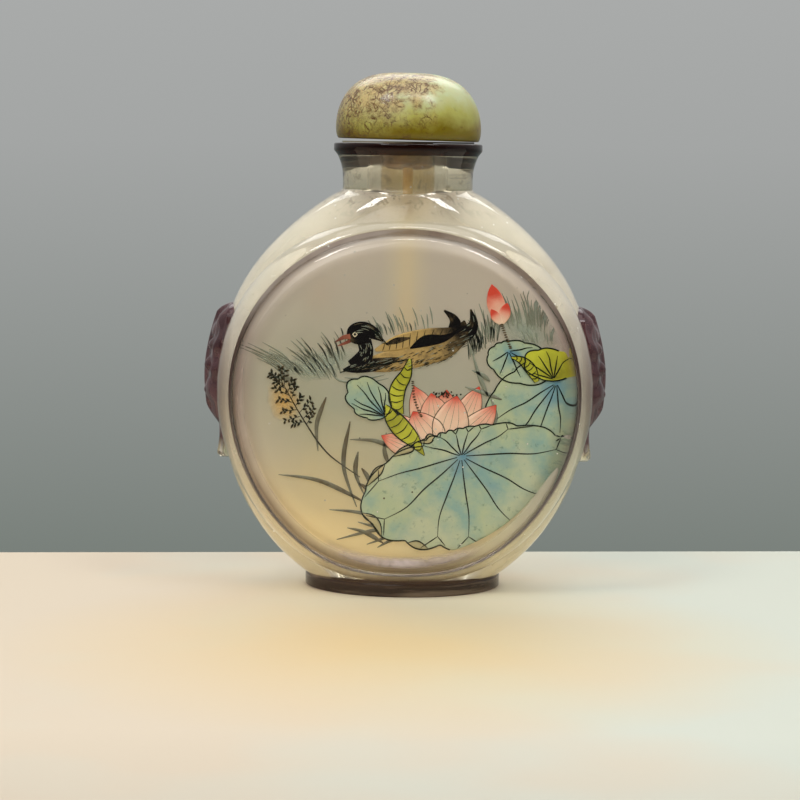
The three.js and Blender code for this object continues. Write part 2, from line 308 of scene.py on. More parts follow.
def clearGlass():
    look, finish = glassLook, Finish("clearGlass")
    reach, cosine = panelReach(finish)
    rim = finish.fade(reach, *look["rim"]) * (finish.noise(*look["rimPatches"]) * 0.8 + 0.5)
    rim *= finish.levels(cosine * 0.5 + 0.5, look["rimShares"])
    colour = finish.blend(rim, look["tint"], look["rimTint"])
    # Painted shade along the groove, spread wider low on the left.
    groove = finish.fade(reach, *look["groove"]) * (finish.noise(*look["groovePatches"]) * 0.5 + 0.6)
    lowLeftShade = finish.fade(finish.along(0) + finish.along(2) - body["middle"], *look["shadeLowLeft"])
    lowLeftShade *= finish.fade(reach, *look["shadeLowLeftReach"]) * look["lowLeftShade"]
    colour = finish.blend(groove.maths("MAXIMUM", lowLeftShade), colour, look["grooveShade"])
    glass = finish.litThrough(finish.clear(colour, look["roughness"], finish.waves()), look["shadowTint"])
    # Pale light painted low on the rounded edge: a painted glint.
    low = finish.fade(cosine, *look["glintLow"]) * finish.fade(reach, *look["glintInner"])
    low *= finish.fade(reach, *look["glintOuter"]) * (finish.noise(*look["glintPatches"]) * 1.6 - 0.1)
    haze = finish.principled({"Base Color": look["haze"], "Roughness": look["glintRoughness"]})
    glass = finish.mixed(low, glass, haze)
    for specks in ("dust", "dirt"):
        glass = finish.speckled(glass, look[specks], look[specks + "Tint"], look["speckRoughness"])
    return finish.done(glass)


milkyLook = {
    "tall": 60, "cloud": (120, 4, 0.6), "cloudHeight": 12,
    # The warmth low down is painted light from below.
    "upward": [(0.1, (0.90, 0.80, 0.55)), (0.45, (0.95, 0.90, 0.76)), (0.62, (0.95, 0.90, 0.76)),
               (0.82, (0.66, 0.63, 0.49))],               # warm, then cream, and smoky below the neck
    "clearTint": (0.895, 0.80, 0.56), "clearness": 0.5, "roughness": 0.06,
    "milky": 0.6, "milkyAtNeck": 0.08, "growsClear": (49.2, 55.8), "clearUneven": 6, "patchy": 0.6,
    "stain": (0.28, 0.20, 0.165), "stainAcross": (23.4, 25.0), "stainBeyond": (16, 11),    # by the handles
    "dirt": (0.22, 0.15, 0.06), "dirtPattern": (600, 4, 0.75), "dirtAmount": (0.52, 0.62),
    "dirtStarts": (50.0, 53.0), "dirtEnds": (58.0, 55.0), "dirtShare": 0.85,
    "darkPits": (420, 0.06, 0.6), "pits": (700, 0.05, 0.3), "dust": (620, 0.05, 0.4), "dustRoughness": 0.5,
}


# Cloudy glass on the shoulders that grows clear towards the neck.
def milkyGlass():
    look, finish = milkyLook, Finish("milkyGlass")
    height = finish.along(2)
    cloud = finish.noise(*look["cloud"])
    colour = finish.ramp((height + (cloud - 0.5) * look["cloudHeight"]) / look["tall"], look["upward"])
    stain = finish.fade(finish.along(0).maths("ABSOLUTE") + cloud, *look["stainAcross"])
    stain *= finish.fade((height - body["middle"]).maths("ABSOLUTE"), *look["stainBeyond"])
    colour = finish.blend(stain, colour, look["stain"])
    # Dirt is left in the hollows round the neck.
    dirt = finish.fade(height, *look["dirtStarts"]) * finish.fade(height, *look["dirtEnds"])
    dirt *= finish.fade(finish.noise(*look["dirtPattern"]), *look["dirtAmount"])
    dark = dirt.maths("MAXIMUM", finish.specks(*look["darkPits"])) * look["dirtShare"]
    bump = finish.waves(finish.specks(*look["pits"]) * -2)
    milky = finish.principled({
        "Base Color": finish.blend(dark, colour, look["dirt"]), "Roughness": look["roughness"],
        "IOR": glassLook["ior"], "Transmission Weight": look["clearness"], "Normal": bump,
    })
    clear = finish.clear(look["clearTint"], look["roughness"], bump)
    milkiness = finish.fade(height + (cloud - 0.5) * look["clearUneven"], *look["growsClear"])
    milkiness = milkiness * (look["milkyAtNeck"] - look["milky"]) + look["milky"]
    milkiness += (cloud - 0.5 + dirt) * look["patchy"]
    glass = finish.litThrough(finish.mixed(milkiness, clear, milky), glassLook["shadowTint"])
    return finish.done(finish.speckled(glass, look["dust"], glassLook["dustTint"], look["dustRoughness"]))


wallLook = {
    "tall": 62, "slant": 0.25, "uneven": 0.28, "broad": (60, 3), "fine": (900, 4),
    "fineStrength": 0.2, "fineDepth": 0.00003,
    # Warm low down, partly a painted wash and partly painted light from below.
    "upward": [(0.1, (0.97, 0.79, 0.45)), (0.36, (0.58, 0.59, 0.47)), (0.68, (0.76, 0.67, 0.57)),
               (0.84, (0.76, 0.67, 0.57)), (0.9, (0.66, 0.52, 0.32))],
    "pale": (0.80, 0.73, 0.63), "paleAcross": (-12, -21), "paleAbove": (8, 20), "paleShare": 0.7,
    "lit": (0.98, 0.86, 0.56), "litBeside": (3.4, 0.6), "litAbove": (34, 42), "litShare": 0.5,
    "speck": (0.9, 0.88, 0.8), "specks": (1500, 2), "speckAmount": (0.75, 0.8), "speckShare": 0.5,
    "shadowTint": (0.9, 0.88, 0.82),
    "clearness": 0.55, "roughness": 0.45,
    "throatClearness": 0.85, "throatRoughness": 0.16,
}


# The inside is ground rough, except in the neck, where it is only scratched.
def frostedWall(name, clearness, roughness):
    look, finish = wallLook, Finish(name)
    across, height = finish.along(0), finish.along(2)
    uneven = (finish.noise(*look["broad"]) - 0.5) * look["uneven"]
    colour = finish.ramp((height + across * look["slant"]) / look["tall"] + uneven, look["upward"])
    # It is pale on the left, and lit from above along the spoon.
    pale = finish.fade(across, *look["paleAcross"]) * finish.fade(height, *look["paleAbove"])
    colour = finish.blend(pale * look["paleShare"], colour, look["pale"])
    lit = finish.fade(across.maths("ABSOLUTE"), *look["litBeside"]) * finish.fade(height, *look["litAbove"])
    colour = finish.blend(lit * look["litShare"], colour, look["lit"])
    speck = finish.fade(finish.noise(*look["specks"]), *look["speckAmount"])
    colour = finish.blend(speck * look["speckShare"], colour, look["speck"])
    glass = finish.principled({
        "Base Color": colour, "Roughness": roughness, "IOR": glassLook["ior"],
        "Transmission Weight": clearness,
        "Normal": finish.bump(finish.noise(*look["fine"]), look["fineStrength"], look["fineDepth"]),
    })
    return finish.done(finish.litThrough(glass, look["shadowTint"]))


overlayLook = {
    "thin": (0.14, 0.06, 0.07), "deep": (0.05, 0.016, 0.02),
    "depth": (160, 4, 0.6), "depthAmount": (0.4, 0.75),
    "lip": (0.012, 0.002, 0.001), "foot": (0.055, 0.032, 0.022), "lipAbove": (20, 30),
    # Pale streaks along the foot are painted glints.
    "footGlint": (0.27, 0.20, 0.14), "footGlints": (55, 4, 0.6), "footGlintAmount": (0.48, 0.66), "footGlintSquash": 14,
    "beyondHandles": (21.2, 22.4),                    # distance above or below the body's middle
    "runsOut": (20.4, 18.4), "footBelow": (6, 8), "runsUneven": 3,    # where it runs out on the handles
    "clearness": 0.35, "roughness": 0.06, "gloss": 0.15, "shadowTint": (0.25, 0.14, 0.16),
}


def purpleOverlay():
    look, finish = overlayLook, Finish("purpleOverlay")
    height = finish.along(2)
    depth = finish.noise(*look["depth"])
    handles = finish.blend(finish.fade(depth, *look["depthAmount"]), look["deep"], look["thin"])
    # Painted glints, drawn out in streaks along the foot.
    squash = (1, 1, look["footGlintSquash"])
    level = finish.node("VectorMath", {"operation": "MULTIPLY"}, {0: finish.place(), 1: squash})
    footGlints = finish.fade(finish.noise(*look["footGlints"], where=level), *look["footGlintAmount"])
    foot = finish.blend(footGlints, look["foot"], look["footGlint"])
    far = finish.blend(finish.fade(height, *look["lipAbove"]), foot, look["lip"])
    beyond = finish.fade((height - body["middle"]).maths("ABSOLUTE"), *look["beyondHandles"])
    glass = finish.litThrough(finish.principled({
        "Base Color": finish.blend(beyond, handles, far), "Roughness": look["roughness"],
        "IOR": glassLook["ior"], "Transmission Weight": look["clearness"],
        "Specular IOR Level": look["gloss"],
    }), look["shadowTint"])
    clear = finish.clear(milkyLook["clearTint"], milkyLook["roughness"], finish.waves())
    runsOut = finish.fade(height + (depth - 0.5) * look["runsUneven"], *look["runsOut"])
    runsOut *= finish.fade(height, *look["footBelow"])
    return finish.done(finish.mixed(runsOut, glass, finish.litThrough(clear, glassLook["shadowTint"])))


body = {
    "middle": 25.6, "halfWidth": 25.0, "fuller": 0.75, "fullFrom": 20.0, "fullTo": 31.0,
    "reachDown": 28.0, "reachUp": 28.1, "roundDown": 2.0, "roundUp": 2.15,
    "halfDepth": 10.6, "depthRoundDown": 6, "depthRoundUp": 4, "base": 1.9,
    "squarer": 0.5,                              # than an ellipse, at the middle
    "around": 160,
    "rows": [(14, 26), (38, 18), (56, 60)],      # height, and rows of corners from the last one up to it
}
neck = {
    "waist": 8.76, "waistHeight": 55.2, "flare": 0.073, "widthFillet": 10, "depthFillet": 6,
    "bore": 3.65, "chamfer": 0.3,
}
lip = {"radius": 10.05, "start": 58.5, "edge": 59.05, "top": lipTop, "round": 0.25, "bevel": (0.06, 0.12)}
foot = {
    "halfWidth": 13.3, "halfDepth": 11.5, "spread": 0.25, "roundAbove": 0.4, "roundTo": 1.2, "buried": 0.12,
    "recessHalfWidth": 10.4, "recessHalfDepth": 8.5,
    "recess": [(-1.0, 0.0), (0.0, 0.0), (0.9, 0.15), (1.15, 0.5), (1.2, 1.2)],    # height, and how far in
}
panel = {
    "radius": 22.85, "face": -cadLow.y / mm, "edge": 1.6, "groove": 11.3, "crease": 5.5,
    "creaseRadius": 25.3, "higher": 0.15, "around": 200, "rings": (0.5, 0.8, 0.95),
    "lobes": (0.0044, 0.0044, -0.0153),          # one, two and three times round
    "flatter": 0.034, "flatterRound": 16,        # above the foot
}
cavity = {
    "radius": 22.4, "halfDepth": 9.8, "roundRadius": 40, "roundDepth": 4, "wall": 3.0,
    "shoulder": 42.0, "throat": 53.4, "narrowing": 2.4, "shallower": 1.4,
    "smooth": 52.6,                              # above this the inside is only scratched
}
clearSlot, overlaySlot, frostedSlot, milkySlot, throatSlot = range(5)


def alongBody(z):
    return (z - body["middle"]) / (body["reachDown"] if z < body["middle"] else body["reachUp"])


def neckRadius(z):
    return neck["waist"] + neck["flare"] * max(z - neck["waistHeight"], 0) ** 2


def outlineWidth(z):
    share = alongBody(z)
    wide = body["halfWidth"] + body["fuller"] * eased(body["fullFrom"], body["fullTo"], z)
    if share < 0:
        return wide * superArc(share, body["roundDown"])
    return blended(wide * superArc(share, body["roundUp"]), neckRadius(z), neck["widthFillet"])


def outlineDepth(z):
    share = alongBody(z)
    if share < 0:
        return body["halfDepth"] * superArc(share, body["depthRoundDown"])
    deep = body["halfDepth"] * superArc(share, body["depthRoundUp"])
    return blended(deep, neckRadius(z), neck["depthFillet"])


def sectionRound(z):
    return 2 + body["squarer"] * (1 - min(abs(alongBody(z)), 1) ** 4)


def levelPoint(turn, z, halfWidth, halfDepth, exponent=2):
    across = halfWidth * signedPower(math.cos(turn), 2 / exponent)
    return (across, halfDepth * signedPower(math.sin(turn), 2 / exponent), z)


def shoulderRows():
    heights = [body["base"]]
    for height, count in body["rows"]:
        heights += stations(heights[-1], height, count)[1:]
    rows = [(z, outlineWidth(z), outlineDepth(z), sectionRound(z)) for z in heights]
    rows += [(z, neckRadius(z), neckRadius(z), 2) for z in stations(heights[-1], lip["start"], 10)[1:]]
    inward, upward = lip["bevel"]
    for z, r in ((lip["edge"], lip["radius"] - inward), (lip["edge"] + upward, lip["radius"])):
        rows.append((z, r, r, 2))
    for angle in stations(0, pi / 2, 5):
        r = lip["radius"] - lip["round"] * (1 - math.cos(angle))
        rows.append((lip["top"] - lip["round"] * (1 - math.sin(angle)), r, r, 2))
    return rows


def shoulders(materials):
    bm = closed(wrapped(body["around"], shoulderRows(), lambda turn, row: levelPoint(turn, *row)))
    for face in bm.faces:
        inLip = face.calc_center_median().z / mm > lip["start"] + 0.2
        face.material_index = overlaySlot if inLip else milkySlot
    return meshObject("shoulders", bm, materials)


def lobe(turn):
    flat = panel["flatter"] * max(-math.cos(turn), 0) ** panel["flatterRound"]
    first, second, third = panel["lobes"]
    return 1 + first * math.cos(turn) + second * math.cos(2 * turn) + third * math.cos(3 * turn) - flat


# A closed shape turned about the axis through both panels, from the radius and distance of its front half.
def disc(name, halfRows, around, materials):
    rows = halfRows + [(r, -t) for r, t in reversed(halfRows[:-1])]

    def place(turn, row):
        r = row[0] * lobe(turn) + max(row[0] - panel["radius"], 0) * panel["higher"] * math.cos(turn)
        return (r * math.sin(turn), -row[1], body["middle"] + r * math.cos(turn))

    return meshObject(name, closed(wrapped(around, rows, place)), materials)


def panels(materials):
    flatEdge = panel["radius"] - panel["edge"]
    rows = [(flatEdge * share, panel["face"]) for share in (0.0, *panel["rings"])]
    for angle in stations(0, pi / 2, 10):
        rows.append((flatEdge + panel["edge"] * math.sin(angle),
                     between(panel["groove"], panel["face"], math.cos(angle))))
    for angle in stations(0, pi / 2, 14)[1:]:
        rows.append((between(panel["radius"], panel["creaseRadius"], math.sin(angle)),
                     between(panel["crease"], panel["groove"], math.cos(angle))))
    rows += [(panel["creaseRadius"], panel["crease"] * (1 - share)) for share in stations(0, 1, 5)[1:]]
    piece = disc("panels", rows, panel["around"], materials)
    for face in piece.data.polygons:
        inPanel = abs(face.center.y) / mm > panel["groove"] - 0.1
        face.material_index = clearSlot if inPanel else milkySlot
    return piece


# An oval shape from rows of height and distance in from its half width and depth.
def oval(name, around, rows, halfWidth, halfDepth, materials):
    def place(turn, row):
        return levelPoint(turn, row[0], halfWidth - row[1], halfDepth - row[1])

    return inSlot(meshObject(name, closed(wrapped(around, rows, place)), materials), overlaySlot)


def footRing(materials):
    low, high = foot["spread"], foot["roundAbove"]
    rows = [(low * (1 - math.cos(a)), low * (1 - math.sin(a))) for a in stations(0, pi / 2, 4)]
    for a in stations(0, foot["roundTo"], 5):
        rows.append((body["base"] - high * (1 - math.sin(a)), high * (1 - math.cos(a))))
    rows.append((body["base"] + foot["buried"], high))
    return oval("footRing", 120, rows, foot["halfWidth"], foot["halfDepth"], materials)


def footHollow(materials):
    recess = foot["recessHalfWidth"], foot["recessHalfDepth"]
    return oval("footHollow", 96, foot["recess"], *recess, materials)


handle = {
    "maskMiddle": 29.5, "maskHalfHeight": 8.9, "maskHalfWidth": 6.0, "maskHeight": 1.45,
    "chinStart": -4.6, "chinEnd": -9.2,      # heights from the mask's middle between which it dies away
    "ridge": 0.32, "ridgeHalfWidth": 1.6,    # of the nose and forehead above the rest
    "curl": 0.22, "curls": 11, "sunk": 0.25,
    "ringMiddle": 20.9, "ringHalfHeight": 3.7, "ringHalfWidth": 5.0, "ringAcross": 3.6, "ringDown": 3.0,
    "ringThickness": 1.0, "ringHeight": 0.6, "heavier": 0.5, "ground": 0.1, "crown": 0.03, "buried": 1.6,
    "across": 72, "rows": 150,
}
features = [    # height, place beside and above the mask's middle, radius, how much wider, slant
    (0.6, 1.3, -3.0, 1.0, 1.0, 0.0),         # nostrils
    (0.65, 2.7, 0.6, 1.15, 1.0, 0.0),        # eyes
    (0.5, 2.8, 2.8, 0.9, 2.0, 0.2),          # brows
    (0.5, 3.2, -2.8, 1.8, 1.0, 0.0),         # cheeks
    (0.35, 1.6, 5.4, 1.3, 1.0, 0.0),         # forehead
    (-0.4, 1.8, -5.0, 0.7, 1.8, 0.0),        # mouth
]


def boss(u, v, radius):
    return max(1 - (u * u + v * v) / (radius * radius), 0)


def carving(depth, z):
    u, v = abs(depth), z - handle["maskMiddle"]
    across, upDown = u / handle["maskHalfWidth"], abs(v) / handle["maskHalfHeight"]
    inside = 1 - across ** 3 - upDown ** 4
    border = clamp((across ** 2 + upDown ** 2 - 0.5) * 4)
    carved = handle["curl"] * math.cos(handle["curls"] * math.atan2(v, u)) * border - handle["sunk"]
    for height, beside, above, radius, wider, slant in features:
        carved += height * boss((u - beside) / wider, v - above - slant * u, radius)
    ridge = eased(0, 1.2, handle["ridgeHalfWidth"] - u)
    mask = 0.0
    if inside > 0:
        relief = min(inside * 4, 1) * (handle["ridge"] * ridge + carved * (1 - ridge))
        mask = handle["maskHeight"] * clamp(inside * 2.2) ** 0.6 + relief
        mask *= eased(handle["chinEnd"], handle["chinStart"], v)
    w = z - handle["ringMiddle"]
    heavier = (1 - handle["heavier"] * w / handle["ringDown"]) ** 2
    around = math.hypot(u / handle["ringAcross"], w / handle["ringDown"]) - 1
    bead = boss(around * handle["ringDown"], 0, handle["ringThickness"]) ** 0.5
    bead = bead * handle["ringHeight"] * heavier
    plateShare = 1 - (u / handle["ringHalfWidth"]) ** 2 - (w / handle["ringHalfHeight"]) ** 2
    return max(mask, handle["ground"] * clamp(plateShare * 5) + bead, 0)


def handleHalfWidth(z):
    mask = handle["maskHalfWidth"] * superArc((z - handle["maskMiddle"]) / handle["maskHalfHeight"], 3)
    ring = handle["ringHalfWidth"] * superArc((z - handle["ringMiddle"]) / handle["ringHalfHeight"], 2)
    return max(mask, ring, 0.5)


def sideHandle(side, materials):
    bottom = handle["ringMiddle"] - handle["ringHalfHeight"]
    top = handle["maskMiddle"] + handle["maskHalfHeight"]

    def place(turn, z):
        share = turn / pi - 1 if turn < 2 * pi else 1  # minus one to one across the face
        half = handleHalfWidth(z)
        depth = share * half
        height = -handle["buried"] if abs(share) > 0.999 else carving(depth, z)
        return (side * (outlineWidth(z) - handle["crown"] * depth * depth + height), depth, z)

    bm = closed(wrapped(handle["across"], stations(bottom, top, handle["rows"]), place))
    return inSlot(meshObject("handle", bm, materials), overlaySlot)


def chamber(materials):
    rows = [(0.0, cavity["halfDepth"])]
    for angle in stations(0, pi / 2, 40)[1:]:
        rows.append((cavity["radius"] * math.sin(angle) ** (2 / cavity["roundRadius"]),
                     cavity["halfDepth"] * max(math.cos(angle), 0) ** (2 / cavity["roundDepth"])))
    rows[-1] = (cavity["radius"], 0.0)
    return disc("chamber", rows, 180, materials)


def throat(materials):
    low, high = cavity["shoulder"], cavity["throat"]
    deepest, chamfer = cavity["halfDepth"] - cavity["shallower"], neck["chamfer"]
    rows = []
    for z in stations(low, high, 40):
        share = ((z - low) / (high - low)) ** cavity["narrowing"]
        wide = between(outlineWidth(z) - cavity["wall"], neck["bore"], share)
        deep = between(min(outlineDepth(z) - cavity["wall"], deepest), neck["bore"], share)
        rows.append((z, wide, deep))
    rows.append((high + 0.6, neck["bore"], neck["bore"]))
    for above, wider in ((-chamfer, 0), (0, chamfer), (1, 1 + chamfer)):
        rows.append((lip["top"] + above, neck["bore"] + wider, neck["bore"] + wider))
    bm = closed(wrapped(120, rows, lambda turn, row: levelPoint(turn, *row)))
    for face in bm.faces:
        isSmooth = face.calc_center_median().z / mm > cavity["smooth"]
        face.material_index = throatSlot if isSmooth else frostedSlot
    return meshObject("throat", bm, materials)


def inSlot(piece, slot):
    for face in piece.data.polygons:
        face.material_index = slot
    return piece


def glassBottle():
    slots = [
        clearGlass(), purpleOverlay(),
        frostedWall("frostedWall", wallLook["clearness"], wallLook["roughness"]), milkyGlass(),
        frostedWall("throatWall", wallLook["throatClearness"], wallLook["throatRoughness"]),
    ]
    outside = combined("outside", panels(slots), [
        ("UNION", shoulders(slots)),
        ("UNION", footRing(slots)),
        ("UNION", sideHandle(1, slots)),
        ("UNION", sideHandle(-1, slots)),
    ])
    hollow = combined("hollow", inSlot(chamber(slots), frostedSlot), [("UNION", throat(slots))])
    bottle = combined("bottle_glass", outside, [
        ("DIFFERENCE", hollow),
        ("DIFFERENCE", footHollow(slots)),
    ])
    bottle.data.set_sharp_from_angle(angle=math.radians(32))
    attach(bottle, "root")
    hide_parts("bottle")
    print("bottle", len(bottle.data.polygons), "faces", [m.name for m in bottle.data.materials])


painting = {
    "lift": 0.05,        # of the first layer of paint in front of the inner wall
    "layer": 0.012,      # from one layer to the next
    "film": 0.006,       # thickness of the paint
    "reach": 21.8,       # how far from the panel centre the paint goes
    "shortBelow": 1.5,
    "step": 0.4,         # longest cell, so that the film follows the wall's round edge
    "line": 0.12,        # half width of an ink line
    "roughness": 0.8,
}
paints = {
    "leafGreen": (0.49, 0.57, 0.37), "leafTeal": (0.28, 0.45, 0.42), "leafBlue": (0.13, 0.31, 0.44),
    "leafPale": (0.60, 0.63, 0.44), "leafFleck": (0.15, 0.25, 0.20),
    "lime": (0.62, 0.64, 0.06), "limeDeep": (0.30, 0.29, 0.03),
    "tan": (0.62, 0.52, 0.30), "tanDeep": (0.42, 0.40, 0.22),
    "petal": (0.94, 0.66, 0.50), "petalFlush": (0.88, 0.38, 0.28), "petalTip": (0.72, 0.08, 0.05),
    "black": (0.006, 0.005, 0.005), "brown": (0.17, 0.12, 0.06), "ochre": (0.52, 0.36, 0.14),
    "bill": (0.55, 0.20, 0.13), "billDeep": (0.20, 0.06, 0.04), "cream": (0.80, 0.72, 0.52),
    "ink": (0.010, 0.016, 0.010), "inkBrown": (0.11, 0.075, 0.035), "inkWash": (0.27, 0.30, 0.24),
    "haze": (0.40, 0.47, 0.40), "gold": (0.78, 0.50, 0.16),
}


# The place, on a smooth curve through the points, of a share of the way along it.
def through(points, share):
    step = clamp(share) * (len(points) - 1)
    first = min(int(step), len(points) - 2)
    t = step - first
    near = [points[int(clamp(first + k, 0, len(points) - 1))] for k in (-1, 0, 1, 2)]
    return [0.5 * (2 * b + (c - a) * t + (2 * a - 5 * b + 4 * c - d) * t ** 2
                   + (3 * b - a - 3 * c + d) * t ** 3) for a, b, c, d in zip(*near)]


# The two edges of a dab at a share of its length, from the points along it and its half widths.
def edgePoint(points, widths, share, side):
    here = through(points, share)
    ahead, behind = through(points, share + 0.02), through(points, share - 0.02)
    run = Vector((ahead[0] - behind[0], ahead[1] - behind[1])).normalized()
    half = max(through([(w,) for w in widths], share)[0], 0.01) * side
    return here[0] - run.y * half, here[1] + run.x * half


# How far from the panel centre the paint goes, less below than above.
def paintReach(across, up):
    return painting["reach"] - painting["shortBelow"] * max(-up / max(math.hypot(across, up), 0.1), 0)


# One film of paint. Across and up are millimetres from the panel centre, seen from outside.
class Paint:
    def __init__(self, seed):
        self.bm = bmesh.new()
        self.shade = self.bm.verts.layers.float.new("shade")
        self.side, self.layer, self.slot = -1, 0, 0
        self.chance = random.Random(seed)

    def set(self, layer, slot=0):
        self.layer, self.slot = layer, slot

    def onWall(self, across, up):
        reach, limit = math.hypot(across, up), paintReach(across, up)
        if reach > limit:
            across, up = across * limit / reach, up * limit / reach
        share = min(reach, limit) / lobe(math.atan2(-self.side * across, up)) / cavity["radius"]
        flat = (1 - min(share, 1) ** cavity["roundRadius"]) ** (1 / cavity["roundDepth"])
        deep = cavity["halfDepth"] * flat + painting["lift"] + self.layer * painting["layer"]
        return Vector((-self.side * across, self.side * deep, body["middle"] + up)) * mm

    # A sheet of cells. The place of a corner, from -1 to 1 and from 0 to 1, gives across, up and shade.
    def sheet(self, wide, long, place):
        made = bmesh.ops.create_grid(self.bm, x_segments=wide, y_segments=long, size=0.5)["verts"]
        for face in {face for corner in made for face in corner.link_faces}:
            face.material_index = self.slot
        for corner in made:
            across, up, shade = place(corner.co.x * 2, corner.co.y + 0.5)
            corner.co = self.onWall(across, up)
            corner[self.shade] = shade
        bmesh.ops.remove_doubles(self.bm, verts=made, dist=1e-7)

    # A dab of the brush through points, with half widths and shades at even shares of its length.
    def dab(self, points, widths, shades=(0, 1), long=10, wide=2):
        route = [through(points, share) for share in stations(0, 1, 8)]
        run = sum(math.dist(a, b) for a, b in zip(route, route[1:]))
        tones = [(s,) for s in shades]

        def place(side, share):
            return (*edgePoint(points, widths, share, side), through(tones, share)[0])

        self.sheet(wide, max(long, int(run / painting["step"])), place)

    def line(self, points, width=1.0, shade=0.0, long=12):
        half = painting["line"] * width
        self.dab(points, (half * 0.5, half, half * 0.9, half * 0.35), (shade, shade), long, 1)

    # Ink along both edges of a dab.
    def outline(self, points, widths, width=0.7, shade=0.0, count=12):
        for side in (-1, 1):
            edge = [edgePoint(points, widths, share, side) for share in stations(0, 1, count)]
            self.line(edge, width, shade, 24)

    # A leaf spread round its hub as far as its rim, or a pool of thin colour.
    def leaf(self, leaf, shades=(1, 0), around=120, rings=40):
        def place(side, share):
            return (*leafPoint(leaf, side * pi, share), between(*shades, share))

        self.sheet(around, rings, place)

    def done(self, name, materials):
        piece = meshObject(name, self.bm, materials)
        film = piece.modifiers.new("film", "SOLIDIFY")
        film.thickness, film.offset = painting["film"] * mm, 0
        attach(piece, "root")
        print(name, len(piece.data.polygons), "faces")


# Paint of two tones that pool by chance and by the shade of each dab.
def pooled(name, light, deep, scale=500):
    finish = Finish(name)
    level = finish.shade() * 0.6 + finish.noise(scale, 3) * 0.6
    colour = finish.ramp(level, [(0.35, paints[light]), (0.85, paints[deep])])
    return finish.done(finish.paint(colour))


# Paint whose tone goes unevenly with the shade of each dab.
def graded(name, pattern, uneven, stops):
    finish = Finish(name)
    level = finish.shade() + (finish.noise(*pattern) - 0.5) * uneven
    tones = [(place, paints[tone]) for place, tone in stops]
    return finish.done(finish.paint(finish.ramp(level, tones)))


# Colour so thin that the wall shows through, gone at its rim.
def thinWash(name, tone, strength):
    finish = Finish(name)
    level = finish.shade() + (finish.noise(260, 4, 0.6) - 0.5) * 0.9
    alpha = finish.fade(level, 0.1, 0.9) * strength
    return finish.done(finish.paint(paints[tone], {"Alpha": alpha}))


# A point of a leaf, which is an ellipse with lobes, at an angle and a share of the way from hub to rim.
def leafPoint(leaf, angle, share):
    tilt = math.radians(leaf["tilt"])
    turned = Matrix.Rotation(-tilt, 2)
    start = turned @ Vector((leaf["hub"][0] - leaf["middle"][0], leaf["hub"][1] - leaf["middle"][1]))
    run = turned @ Vector((math.cos(angle), math.sin(angle)))
    p = Vector((start.x / leaf["long"], start.y / leaf["wide"]))
    q = Vector((run.x / leaf["long"], run.y / leaf["wide"]))
    far = (-p.dot(q) + math.sqrt(p.dot(q) ** 2 - q.dot(q) * (p.dot(p) - 1))) / q.dot(q)
    bend = leaf["lobes"] / 2 * angle + 0.9 * math.sin(2 * angle + 0.5)
    depth = leaf["lobe"] * (0.45 + 0.55 * math.sin(1.5 * angle + leaf["hub"][0]) ** 2)
    far = (far + depth * min(far / leaf["wide"], 1) ** 1.5 * (abs(math.sin(bend)) - 0.6)) * share
    return leaf["hub"][0] + far * math.cos(angle), leaf["hub"][1] + far * math.sin(angle)


leaves = {     # veins are their number and the first and last direction, and ink is the layer of ink on it
    "large": {
        "hub": (7.6, -6.6), "middle": (9.2, -10.6), "long": 15.0, "wide": 7.9, "tilt": 13, "lobe": 0.9,
        "lobes": 21, "veins": (13, -3.05, 3.05), "layer": 8, "ink": 10, "cells": (160, 60),
    },
    "rear": {
        "hub": (20.0, 3.3), "middle": (17.4, 0.4), "long": 7.4, "wide": 5.4, "tilt": 35, "lobe": 0.5,
        "lobes": 13, "veins": (5, -2.7, -1.0), "layer": 2, "ink": 4,
    },
    "upper": {
        "hub": (13.6, 7.4), "middle": (15.2, 5.9), "long": 4.5, "wide": 2.8, "tilt": -14, "lobe": 0.4,
        "lobes": 9, "veins": (5, -2.9, 0.6), "layer": 3, "ink": 5,
    },
    "fold": {
        "hub": (19.6, 3.8), "middle": (18.9, 5.7), "long": 3.3, "wide": 2.1, "tilt": -10, "lobe": 0.4,
        "lobes": 10, "veins": (6, 0.9, 3.0), "layer": 9, "ink": 11, "slot": 1,
    },
    "small": {
        "hub": (-2.6, -1.4), "middle": (-4.8, 0.9), "long": 3.3, "wide": 2.5, "tilt": -40, "lobe": 0.6,
        "lobes": 15, "veins": (7, 1.4, 3.3), "layer": 7, "ink": 9,
    },
}
backLeaves = ("rear", "upper")    # the back has a plainer scene
rolled = [     # leaves still rolled up, seen from the side
    ([(0.6, 6.2), (0.1, 4.2), (-0.9, 2.4), (-1.1, 0.6), (-0.5, -1.2)], (0.2, 0.75, 1.0, 0.95, 0.4)),
    ([(-2.6, 0.0), (-1.7, -1.4), (-0.4, -3.0), (1.2, -4.6), (2.7, -6.6)], (0.2, 1.0, 1.25, 0.9, 0.05)),
    ([(14.0, 6.6), (15.4, 6.2), (16.6, 5.0), (17.4, 3.4)], (0.1, 0.5, 0.7, 0.3)),
]
# Turned-up bits of the large leaf's rim: direction where it starts, and turn to where it ends.
curls = [(2.5, 0.34), (2.92, 0.24), (-3.02, 0.2), (-2.6, 0.26), (-2.1, 0.2)]


def leafFinish():
    finish = Finish("leafPaint")
    shade = finish.shade()
    pool = finish.fade(finish.noise(200, 4, 0.65) + shade * 0.2, 0.45, 0.72)
    colour = finish.blend(pool, paints["leafGreen"], paints["leafTeal"])
    thin = finish.fade(finish.noise(110, 3) + finish.noise(330, 4, 0.7) * 0.3, 0.62, 0.82)
    colour = finish.blend(thin * 0.8, colour, paints["leafPale"])
    rim = finish.fade(shade * 0.8 + finish.noise(150, 2, 0.5, 0.6) * 0.9, 0.98, 1.25)
    colour = finish.blend(rim, colour, paints["leafBlue"])
    fleck = finish.fade(finish.noise(900, 3, 0.7), 0.58, 0.75)
    return finish.done(finish.paint(finish.blend(fleck * 0.8, colour, paints["leafFleck"])))


